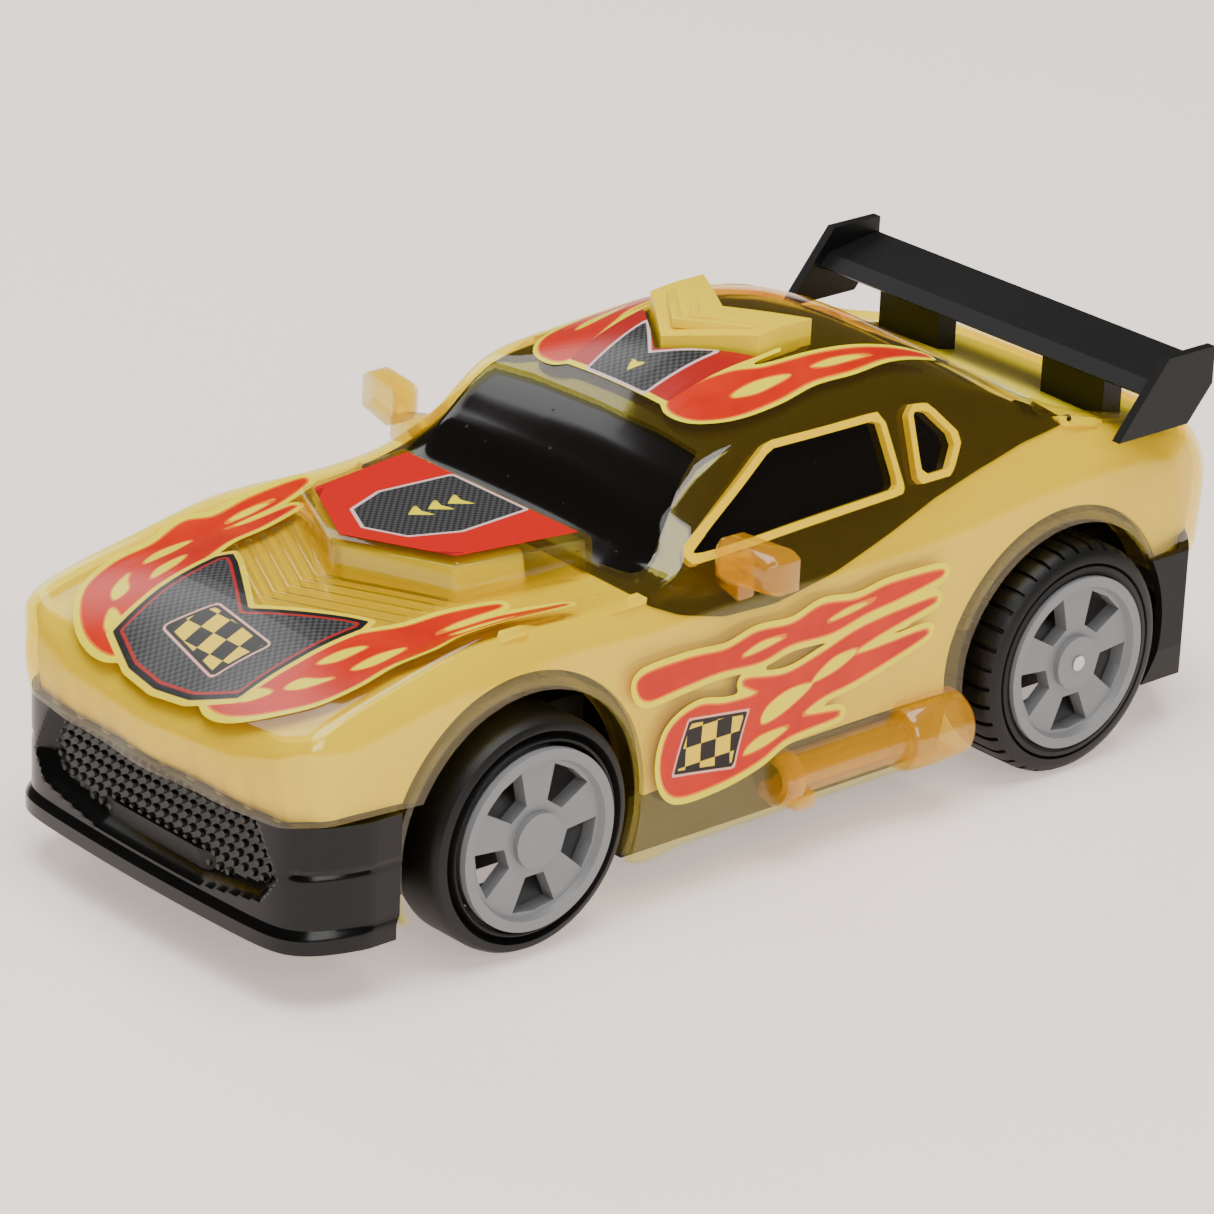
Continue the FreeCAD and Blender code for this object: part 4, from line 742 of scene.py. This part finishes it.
for side, sign in (("left", 1), ("right", -1)):
    inner = sign * 36.4
    outer = sign * 47.0
    face = [  # front outline (x, z)
        (inner, 50.2), (sign * 38.6, 49.4), (outer, 49.6), (outer, 54.6), (sign * 45.6, 55.6),
            (sign * 37.2, 56.1), (inner, 54.6),
    ]
    bpy.ops.mesh.primitive_circle_add(vertices=len(face), fill_type="NGON")
    mirror = bpy.context.object
    mirror.name = f"door_mirror_{side}"
    for vertex, (x, z) in zip(mirror.data.vertices, face):
        vertex.co = Vector((x, -20.5 + abs(x - inner) * 0.25, z)) * MM
    bpy.ops.object.mode_set(mode="EDIT")
    bpy.ops.mesh.select_all(action="SELECT")
    bpy.ops.mesh.inset(thickness=1.5 * MM, depth=1.6 * MM)
    bpy.ops.mesh.select_all(action="SELECT")
    bpy.ops.mesh.extrude_region_move(TRANSFORM_OT_translate={"value": (0, 4.2 * MM, 0)})
    bpy.ops.mesh.select_all(action="SELECT")
    bpy.ops.mesh.normals_make_consistent(inside=False)
    bpy.ops.object.mode_set(mode="OBJECT")
    bpy.ops.object.select_all(action="DESELECT")
    foot = slab(
        f"mirror_foot_{side}",
        [(sign * 32.4, -16.5), (sign * 39.5, -18.5), (sign * 39.5, -15.4), (sign * 32.4, -9.5)],
        46.4,
        50.6,
    )
    apply(foot, "BEVEL", width=0.4 * MM, segments=2)
    mirror = join(f"door_mirror_{side}", [mirror, foot])
    apply(mirror, "BEVEL", width=0.35 * MM, segments=2)
    smooth(mirror)
    dress(mirror, deep_amber)
    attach(mirror, "car_body")
    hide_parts(f"mirror_{side}")


# ---- Bumpers ------------------------------------------------------------------------
# Black ABS mouldings below the shell. The front one has a wide mouth, set back, with a
# field of six-sided studs; it shines like polished plastic. The rear one is duller.


def moulded_plastic(name, colour, roughness, bump_size=0.25, bump_depth=0.02, ior=1.5, sheen=0.5):
    """Injection-moulded plastic: even colour, fine spark-eroded texture."""
    made, tree = material(name)
    place = add(tree, "ShaderNodeTexCoord")
    fine = add(
        tree,
        "ShaderNodeTexNoise",
        {"Vector": place.outputs["Object"], "Scale": 1.0 / (bump_size * MM), "Detail": 2.0},
    )
    relief = add(
        tree,
        "ShaderNodeBump",
        {"Strength": 0.25, "Distance": bump_depth * MM, "Height": fine.outputs["Fac"]},
    )
    cloud = add(
        tree, "ShaderNodeTexNoise", {"Vector": place.outputs["Object"], "Scale": 45.0, "Detail": 3.0}
    )
    spread = add(
        tree,
        "ShaderNodeMapRange",
        {"Value": cloud.outputs["Fac"], "To Min": roughness * 0.85, "To Max": roughness * 1.15},
    )
    plastic = add(
        tree,
        "ShaderNodeBsdfPrincipled",
        {
            "Base Color": linear(colour),
            "Roughness": spread.outputs["Result"],
            "IOR": ior,
            "Specular IOR Level": sheen,
            "Normal": relief.outputs["Normal"],
        },
    )
    show(tree, plastic.outputs["BSDF"])
    return made


black_shine = moulded_plastic("moulded_abs_black_gloss", "#050505", 0.2, sheen=0.3)
black_matte = moulded_plastic("moulded_abs_black_satin", "#111110", 0.5, 0.3, 0.05, sheen=0.3)


CORNER_SHARE = 0.885  # the rest of the bumper runs back to the arch
CHEEK_LENGTH = 5.0


def nose_line(share):
    """The nose in plan: share runs from -1 at the right arch to 1 at the left one."""
    angle = abs(share)
    x = NOSE_HALF * min(1.0, angle * 1.13) if angle < CORNER_SHARE else NOSE_HALF
    y = nose_front(x)
    if angle >= CORNER_SHARE:
        y += (angle - CORNER_SHARE) / 0.115 * CHEEK_LENGTH
    return math.copysign(x, share), y


MOUTH = [
    (-24, 27.2), (-28.5, 19.0), (-25.5, 15.0), (-12, 12.8),
    (12, 12.8), (25.5, 15.0), (28.5, 19.0), (24, 27.2),
]
MOUTH_DEPTH = 2.6
BUMPER_TOP, BUMPER_LOW = 27.8, 8.7
ACROSS, UPRIGHT = 150, 44
bpy.ops.mesh.primitive_grid_add(x_subdivisions=ACROSS, y_subdivisions=UPRIGHT, size=2.0)
bumper = bpy.context.object
bumper.name = "front_bumper_moulding"
flat = np.array([vertex.co for vertex in bumper.data.vertices])
xs = np.array([nose_line(a)[0] for a in flat[:, 0]])
ys = np.array([nose_line(a)[1] for a in flat[:, 0]])
zs = BUMPER_LOW + (flat[:, 1] + 1) / 2 * (BUMPER_TOP - BUMPER_LOW)
depth = np.clip(-outside(MOUTH, xs, zs) / 1.6, 0, 1) * MOUTH_DEPTH
lip = np.clip((12.2 - zs) / 1.2, 0, 1) * 0.9
crease = np.clip(1 - np.abs(zs - 20.5) / 0.8, 0, 1) * np.clip((np.abs(xs) - 29.5) / 1.5, 0, 1) * 0.5
for vertex, x, y, z, inward in zip(bumper.data.vertices, xs, ys, zs, depth - lip + crease + 0.9):
    ahead = Vector((x * 0.35, -36 - abs(x) * -0.2, 0)).normalized()
    vertex.co = (Vector((x, y, z)) - ahead * inward) * MM
bumper.data.update()
middle = min(bumper.data.polygons, key=lambda face: face.center.y)
if middle.normal.y > 0:
    bumper.data.flip_normals()
apply(bumper, "SOLIDIFY", thickness=1.6 * MM, offset=-1.0)
smooth(bumper, 25)
dress(bumper, black_shine)
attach(bumper, "car_body")
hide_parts("front_bumper")

STUD_PITCH = 2.1
bpy.ops.mesh.primitive_cone_add(
    vertices=6, radius1=0.85 * MM, radius2=0.5 * MM, depth=0.7 * MM, rotation=(math.pi / 2, 0, 0)
)
stud = bpy.context.object
bpy.ops.object.transform_apply(location=True, rotation=True, scale=True)
studs = [stud]
bpy.ops.object.select_all(action="DESELECT")
for row in range(8):
    for column in range(-14, 15):
        x = (column + row % 2 / 2) * STUD_PITCH
        z = 13.6 + row * STUD_PITCH * 0.87
        if outside(MOUTH, np.array(x), np.array(z)) < -1.7:
            y = nose_front(x) + MOUTH_DEPTH + 0.75
            copy = stud.copy()
            copy.data = stud.data.copy()
            copy.data.transform(Matrix.Translation(Vector((x, y, z)) * MM))
            bpy.context.collection.objects.link(copy)
            studs.append(copy)
remove(studs.pop(0))
grille = join("mouth_studs", studs)
dress(grille, black_shine)
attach(grille, "car_body")

dress(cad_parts["rear_bumper"], black_matte)
black_grained = moulded_plastic("moulded_abs_black_grained", "#0B0B0B", 0.5, 0.4, 0.06, sheen=0.3)
dress(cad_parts["spoiler"], black_grained)


# ---- Roof button --------------------------------------------------------------------
# The switch cap is solid yellow ABS. Two shallow steps, shaped like arrows, mark its top.

button_yellow = moulded_plastic("moulded_abs_yellow", "#FFDC00", 0.35, sheen=0.3)
dress(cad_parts["roof_button"], button_yellow)
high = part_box("roof_button")[1] / MM
steps = []
for i, (back, width) in enumerate(((0.0, 9.6), (3.6, 8.2))):
    front = 2.6 + back
    path = [(-width, front + 7.4), (0, front), (width, front + 7.4)]
    arrow = path + [(width, front + 9.4), (0, front + 2.0), (-width, front + 9.4)]
    steps.append(slab(f"button_step_{i}", arrow, high.z - 1.5, high.z - 0.05 - 0.25 * i))
    apply(steps[-1], "BEVEL", width=0.2 * MM, segments=2)
button_steps = join("button_steps", steps)
smooth(button_steps)
dress(button_steps, button_yellow)
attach(button_steps, "roof_button")


# ---- Wheels -------------------------------------------------------------------------
# Soft black PVC tyres with cut tread blocks and a groove in the sidewall, pressed on
# grey five-spoke polypropylene rims. A steel axle shows in the rear hubs.

rubber = moulded_plastic("soft_pvc_black", "#080808", 0.5, 0.35, 0.04, sheen=0.35)
rim_grey = moulded_plastic("moulded_polypropylene_grey", "#7F8082", 0.42, 0.3, 0.03)
TREAD_BLOCKS = 36
for end, centre in WHEELS.items():
    for side, sign in (("left", 1), ("right", -1)):
        node = f"{end}_tyre_{side}"
        low, high = (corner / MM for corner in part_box(node))
        face, back = (high.x, low.x) if sign > 0 else (low.x, high.x)
        inward = -sign
        radius = (high.z - low.z) / 2
        profile = [
            (face + inward * 0.3, 13.9), (face, 14.6), (face + inward * 0.1, 15.3),
            (face + inward * 0.7, 15.5), (face + inward * 0.1, 15.8), (face + inward * 0.2, 16.8),
            (face + inward * 0.7, 17.7), (face + inward * 1.7, 18.3), (face + inward * 2.8, radius),
            (face + inward * 6.2, radius), (face + inward * 6.8, radius), (back - inward * 2.4, radius),
            (back - inward * 1.0, 18.0), (back, 16.8), (back, 13.9),
        ]
        tyre = lathe(f"{end}_tyre_moulding_{side}", profile, (0, centre.y, centre.z), "x", TREAD_BLOCKS * 4)
        bpy.context.view_layer.objects.active = tyre
        for polygon in tyre.data.polygons:
            away = Vector((0, polygon.center.y - centre.y * MM, polygon.center.z - centre.z * MM))
            turn = math.degrees(math.atan2(away.z, away.y)) % 360
            slot_number = int(turn / (360 / (TREAD_BLOCKS * 4)))
            polygon.select = away.length > 17.9 * MM and slot_number % 4 == 0
        bpy.ops.object.mode_set(mode="EDIT")
        bpy.ops.mesh.select_mode(type="FACE")
        bpy.ops.mesh.inset(thickness=0.12 * MM, depth=-0.55 * MM)
        bpy.ops.object.mode_set(mode="OBJECT")
        smooth(tyre, 30)
        dress(tyre, rubber)
        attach(tyre, f"{end}_wheels")
        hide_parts(node)
        dress(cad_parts[f"{end}_rim_{side}"], rim_grey)


# ---- Stickers -----------------------------------------------------------------------
# Glossy printed vinyl, die cut. Flames have a red core, an orange line and a yellow
# border; the panels are printed as dark woven carbon. A chequered flag fills the plates.

VINYL_LIFT = 0.12
CELL = 0.6


def loop(points, per=6):
    """A smooth closed line through points."""
    total = len(points)
    smooth_line = []
    for i in range(total):
        p0, p1, p2, p3 = (Vector(points[(i + k) % total]) for k in (-1, 0, 1, 2))
        for step in range(per):
            f = step / per
            bend = 2 * p0 - 5 * p1 + 4 * p2 - p3
            twist = 3 * p1 - p0 - 3 * p2 + p3
            place = 0.5 * (2 * p1 + (p2 - p0) * f + bend * f**2 + twist * f**3)
            smooth_line.append(tuple(place))
    return smooth_line


def sticker(name, box, shapes, cut, project):
    """A printed sticker. shapes gives each print its field; cut is the die line's field."""
    (a0, a1), (b0, b1) = box
    bpy.ops.mesh.primitive_grid_add(
        x_subdivisions=int((a1 - a0) / CELL), y_subdivisions=int((b1 - b0) / CELL), size=2.0
    )
    piece = bpy.context.object
    piece.name = name
    for vertex in piece.data.vertices:
        a = a0 + (vertex.co.x + 1) / 2 * (a1 - a0)
        b = b0 + (vertex.co.y + 1) / 2 * (b1 - b0)
        vertex.co = Vector((a, b, 0)) * MM
    piece.data.update()
    trim(piece, lambda a, b, z: -cut(a, b))
    places = np.array([vertex.co for vertex in piece.data.vertices]) / MM
    for key, field in shapes.items():
        layer = piece.data.attributes.new(key, "FLOAT", "POINT")
        layer.data.foreach_set("value", field(places[:, 0], places[:, 1]).astype(np.float32))
    for key, column in (("sheet_a", 0), ("sheet_b", 1)):
        layer = piece.data.attributes.new(key, "FLOAT", "POINT")
        layer.data.foreach_set("value", places[:, column].astype(np.float32))
    for vertex, (a, b, _) in zip(piece.data.vertices, places):
        vertex.co = project(a, b)
    piece.data.update()
    return piece


skin_for_vinyl = body_skin("vinyl_base")
skin_tree = BVHTree.FromPolygons(
    [vertex.co.copy() for vertex in skin_for_vinyl.data.vertices],
    [list(face.vertices) for face in skin_for_vinyl.data.polygons],
)
remove(skin_for_vinyl)


def from_above(a, b):
    spot, normal, _, _ = skin_tree.ray_cast(Vector((a, b, 100)) * MM, Vector((0, 0, -1)))
    if spot is None:
        spot, normal, _, _ = skin_tree.find_nearest(Vector((a, b, 36)) * MM)
    return spot + normal * VINYL_LIFT * MM


def from_side(sign):
    def cast(a, b):
        start = Vector((sign * 80, a, b)) * MM
        spot, normal, _, _ = skin_tree.ray_cast(start, Vector((-sign, 0, 0)))
        return spot + normal * VINYL_LIFT * MM

    return cast


def union(*fields):
    return lambda a, b: np.minimum.reduce([field(a, b) for field in fields])


def shape(points, mirrored=False):
    """The field of one outline, or of an outline and its mirror image."""
    return lambda a, b: outside(points, np.abs(a) if mirrored else a, b)


def vinyl(name, layers, base="#FFEC00"):
    """Printed vinyl. layers lists (attribute, [(distance, colour), ...]) from below up."""
    made, tree = material(name)
    colour = add(tree, "ShaderNodeRGB")
    colour.outputs[0].default_value = linear(base)
    ink = colour.outputs[0]
    a = add(tree, "ShaderNodeAttribute", attribute_name="sheet_a").outputs["Fac"]
    b = add(tree, "ShaderNodeAttribute", attribute_name="sheet_b").outputs["Fac"]
    sheet = add(tree, "ShaderNodeCombineXYZ", {"X": a, "Y": b})
    weave = add(
        tree,
        "ShaderNodeTexChecker",
        {"Vector": sheet.outputs[0], "Scale": 1.6, "Color1": linear("#2A2A2C"),
            "Color2": linear("#4A494B")},
    )
    drift = add(tree, "ShaderNodeTexNoise", {"Vector": sheet.outputs[0], "Scale": 0.12, "Detail": 2.0})
    fire = add(
        tree,
        "ShaderNodeMix",
        {"Factor": drift.outputs["Fac"]},
        data_type="RGBA",
    )
    fire.inputs[6].default_value = linear("#BE0A04")
    fire.inputs[7].default_value = linear("#E8340A")
    flag = add(
        tree,
        "ShaderNodeTexChecker",
        {"Vector": sheet.outputs[0], "Scale": 0.34, "Color1": linear("#FFD91F"),
            "Color2": linear("#17120F")},
    )
    prints = {"carbon": weave.outputs[0], "fire": fire.outputs[2], "flag": flag.outputs[0]}
    for key, bands in layers:
        field = add(tree, "ShaderNodeAttribute", attribute_name=key).outputs["Fac"]
        for distance, paint in bands:
            edge = add(
                tree,
                "ShaderNodeMapRange",
                {"Value": field, "From Min": distance - 0.06, "From Max": distance + 0.06,
                    "To Min": 1.0, "To Max": 0.0},
            )
            layer = add(tree, "ShaderNodeMix", {"Factor": edge.outputs["Result"]}, data_type="RGBA")
            tree.links.new(ink, layer.inputs[6])
            if paint in prints:
                tree.links.new(prints[paint], layer.inputs[7])
            else:
                layer.inputs[7].default_value = linear(paint)
            ink = layer.outputs[2]
    film = add(tree, "ShaderNodeBsdfPrincipled", {"Base Color": ink, "Roughness": 0.25, "IOR": 1.5,
        "Specular IOR Level": 0.25})
    show(tree, film.outputs["BSDF"])
    return made


FLAME = [(0.55, "#F57C00"), (0.25, "fire")]
DROP = [(0.25, "#F57C00"), (0.0, "#FFEC00")]
HOOD_FLAME = loop([
    (8, -88), (11, -91.2), (16.5, -91.4), (21.5, -89.2), (25.6, -85), (27.2, -79), (27.0, -72.5),
        (28.4, -66),
    (27.4, -61), (28.6, -53), (29.6, -42.5), (26.2, -51), (25.2, -58), (24.2, -63.5), (23.0, -58),
    (23.4, -49.5), (21.0, -57), (20.2, -64), (18.4, -69), (16.5, -74), (15.0, -82),
])
HOOD_DROPS = [
    loop([(19.6, -85.2), (22, -83.6), (23.6, -79.4), (22.0, -81), (19.8, -82.6)]),
    loop([(23.8, -76.8), (25.2, -73.4), (24.6, -67.4), (23.4, -72)]),
    loop([(19.0, -79.0), (20.8, -76.4), (20.8, -71.4), (19.2, -74.6)]),
    loop([(25.6, -60.6), (26.8, -57.2), (27.4, -50), (26.0, -55)]),
    loop([(13.5, -89.6), (16.5, -89.2), (18.6, -86.4), (15.6, -87.0)]),
]
BADGE = [(0, -76.2), (12.5, -68.4), (15.6, -66.9), (16.6, -69.2), (15.9, -80), (14.6, -89.2), (7, -92),
    (0, -92.8), (-8, -92.8), (-8, -76.4)]
FLAG = [(-7.5, -84.5), (-4.5, -78.6), (9.0, -80.4), (6.5, -87.2)]
hood_flame = shape(HOOD_FLAME, True)
badge = shape(BADGE, True)
hood_vinyl = vinyl(
    "printed_vinyl_hood",
    [
        ("blaze", FLAME),
        ("drop", DROP),
        ("badge", [(0.9, "#FFE21A"), (0.0, "#1C1A1C"), (-0.9, "#B0201C"), (-1.35, "carbon")]),
        ("flag", [(0.9, "#F4B9A4"), (0.55, "#17120F"), (0.0, "flag")]),
    ],
)
hood = sticker(
    "hood_vinyl",
    ((-31, 31), (-95.2, -40)),
    {
        "blaze": hood_flame,
        "drop": union(*[shape(points, True) for points in HOOD_DROPS]),
        "badge": badge,
        "flag": shape(FLAG),
    },
    union(lambda a, b: hood_flame(a, b) - 1.5, lambda a, b: badge(a, b) - 0.9),
    from_above,
)
dress(hood, hood_vinyl)
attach(hood, "car_body")
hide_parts("hood_sticker")

SCOOP_PRINT = [(-19.4, -31.6), (-16.2, -51.8), (0, -60.0), (16.2, -51.8), (19.4, -31.6)]
HEXAGON = [(-8.2, -32.2), (-9.2, -45), (-6.2, -52.4), (0, -55.4), (6.2, -52.4), (9.2, -45), (8.2, -32.2)]
ARROWS = [[(-2.6, y), (0, y - 3.4), (2.6, y), (0, y - 0.9)] for y in (-36.5, -40.2, -43.9)]
STRIPES = [[(s * 10.5, -56), (s * 13.5, -56), (s * 21, -38), (s * 21, -44)] for s in (1, -1)]
scoop_print = sticker(
    "scoop_vinyl",
    ((-20, 20), (-60.5, -31)),
    {
        "stripe": union(*[shape(points) for points in STRIPES]),
        "hexagon": shape(HEXAGON),
        "arrow": union(*[shape(points) for points in ARROWS]),
    },
    shape(SCOOP_PRINT),
    lambda a, b: Vector((a, b, SCOOP_TOP + VINYL_LIFT)) * MM,
)
dress(
    scoop_print,
    vinyl(
        "printed_vinyl_scoop",
        [
            ("stripe", [(0.0, "#A81512")]),
            ("hexagon", [(0.55, "#E8C9C4"), (0.0, "carbon")]),
            ("arrow", [(0.0, "#FFEC00")]),
        ],
        "#D61208",
    ),
)
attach(scoop_print, "car_body")
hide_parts("scoop_sticker")

ROOF_FLAME = loop([
    (11.2, -7.2), (16.5, -8.0), (20.2, -4), (21.0, 4), (20.2, 12), (20.4, 20), (19.4, 28), (18.6, 38),
    (17.4, 28), (16.6, 18), (15.6, 8), (13.2, 2),
])
ROOF_DROPS = [
    loop([(17.2, -1), (18.8, 3), (18.2, 10), (16.8, 4)]),
    loop([(18.2, 14), (19, 18), (18.6, 26), (17.8, 19)]),
]
ROOF_PANEL = [(-11.0, -7.6), (11.0, -7.6), (12.6, 7.8), (12.6, 12), (0, 2.0), (-12.6, 12), (-12.6, 7.8)]
ROOF_CARBON = [(-6.2, -7.9), (6.2, -7.9), (7.8, 4.6), (0, -1.8), (-7.8, 4.6)]
ROOF_ARROW = [(-1.7, -3.2), (0, -6.0), (1.7, -3.2), (0, -4.0)]
roof_flame = shape(ROOF_FLAME, True)
roof_panel = shape(ROOF_PANEL)
BUTTON_HOLE = [(-12.6, 8.2), (0, -0.6), (12.6, 8.2), (12.6, 20.8), (0, 13.6), (-12.6, 20.8)]
roof_print = sticker(
    "roof_vinyl",
    ((-23, 23), (-10, 40)),
    {
        "blaze": roof_flame,
        "drop": union(*[shape(points, True) for points in ROOF_DROPS]),
        "panel": roof_panel,
        "carbon": shape(ROOF_CARBON),
        "arrow": shape(ROOF_ARROW),
    },
    lambda a, b: np.maximum(
        np.minimum(roof_flame(a, b) - 1.2, roof_panel(a, b) - 0.9), -shape(BUTTON_HOLE)(a, b)
    ),
    from_above,
)
dress(
    roof_print,
    vinyl(
        "printed_vinyl_roof",
        [
            ("blaze", FLAME),
            ("drop", DROP),
            ("panel", [(0.0, "#B3201A")]),
            ("carbon", [(0.5, "#E8C9C4"), (0.0, "carbon")]),
            ("arrow", [(0.0, "#FFEC00")]),
        ],
    ),
)
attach(roof_print, "car_body")
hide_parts("roof_sticker")

SIDE_ARM = loop([
    (-32.6, 37.2), (-33.6, 35.4), (-31.6, 33.6), (-26, 34.0), (-18, 34.6), (-10, 34.2), (-4, 35.4),
    (4, 35.2), (11, 36.6), (18, 37.4), (26.6, 39.0), (16, 39.4), (9, 38.6), (2, 39.4),
    (-4, 38.0), (-11, 38.4), (-17, 37.2), (-24, 37.6),
])
SIDE_BODY = loop([
    (-27, 27.0), (-28.2, 21), (-25.4, 16.8), (-17, 16.6), (-9, 18.0), (-3, 20.2), (7, 21.0), (-1, 22.4),
    (3, 24.8), (11, 26.2), (24.2, 30.0), (12, 29.6), (7, 30.0), (14, 32.4), (25.4, 35.0), (11, 34.0),
    (2, 31.6), (-5, 30.2), (-13, 31.4), (-9, 28.6), (-16, 28.4), (-22, 29.4),
])
SIDE_DROPS = [
    loop([(-8.5, 23.4), (-4, 24.4), (1, 27.4), (-4, 27.6), (-8, 25.8)]),
    loop([(1, 27.8), (6, 28.6), (10, 30.8), (5, 30.6)], 5),
    loop([(-12, 19.4), (-7.5, 19.8), (-3, 21.6), (-9, 21.4)]),
    loop([(-14, 35.6), (-10, 35.8), (-5, 36.8), (-10, 37.0)]),
    loop([(3, 36.8), (8, 37.2), (13, 38.2), (7, 38.0)]),
]
PLATE = [(-23.6, 28.3), (-11.3, 26.7), (-13.7, 17.7), (-26.3, 19.6)]
side_flame = union(shape(SIDE_ARM), shape(SIDE_BODY))
side_vinyl = vinyl(
    "printed_vinyl_side",
    [
        ("blaze", FLAME),
        ("drop", DROP),
        ("plate", [(0.0, "#F4B9A4"), (-0.35, "#17120F"), (-0.9, "flag")]),
    ],
)
for side, sign in (("left", 1), ("right", -1)):
    side_print = sticker(
        f"side_vinyl_{side}",
        ((-36, 29), (14.5, 42)),
        {
            "blaze": side_flame,
            "drop": union(*[shape(points) for points in SIDE_DROPS]),
            "plate": shape(PLATE),
        },
        lambda a, b: side_flame(a, b) - 1.5,
        from_side(sign),
    )
    dress(side_print, side_vinyl)
    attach(side_print, "car_body")
    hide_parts(f"side_sticker_{side}")


# ---- Pieces inside and below --------------------------------------------------------
# What the shell covers keeps its working shape: a black polypropylene chassis, acetal
# gears in a white case, a steel spring and axles, and the light unit on its green board.


def plain_metal(name, colour, roughness):
    """Drawn or plated metal with fine lines."""
    made, tree = material(name)
    place = add(tree, "ShaderNodeTexCoord")
    lines = add(
        tree, "ShaderNodeTexNoise", {"Vector": place.outputs["Object"], "Scale": 900.0, "Detail": 2.0}
    )
    spread = add(
        tree,
        "ShaderNodeMapRange",
        {"Value": lines.outputs["Fac"], "To Min": roughness * 0.8, "To Max": roughness * 1.3},
    )
    metal = add(
        tree,
        "ShaderNodeBsdfPrincipled",
        {"Base Color": linear(colour), "Metallic": 1.0, "Roughness": spread.outputs["Result"]},
    )
    show(tree, metal.outputs["BSDF"])
    return made


steel = plain_metal("drawn_steel", "#C9C8C4", 0.28)
acetal = moulded_plastic("moulded_acetal_white", "#EDEBE4", 0.35)
case_white = moulded_plastic("moulded_polystyrene_white", "#E6E4DC", 0.4)
board_green = moulded_plastic("glass_epoxy_green", "#1F6B3A", 0.35)
lamp_clear = moulded_plastic("cast_epoxy_clear", "#E9EEF0", 0.08)
FINISHES = {
    "chassis": black_matte,
    "battery_door": black_matte,
    "switch_housing": black_shine,
    "switch_plunger": acetal,
    "light_carrier": case_white,
    "light_board": board_green,
    "lamps": lamp_clear,
    "motor_case": case_white,
    "motor_cover": case_white,
    "axle_gear": acetal,
    "transfer_gear": acetal,
    "winding_gear": acetal,
}
for node in (
    "chassis_screws", "battery_door_screw", "button_cells", "battery_contacts", "button_spring",
    "motor_screws", "mainspring", "front_axle", "rear_axle",
):
    FINISHES[node] = steel
for node, finish in FINISHES.items():
    dress(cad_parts[node], finish)
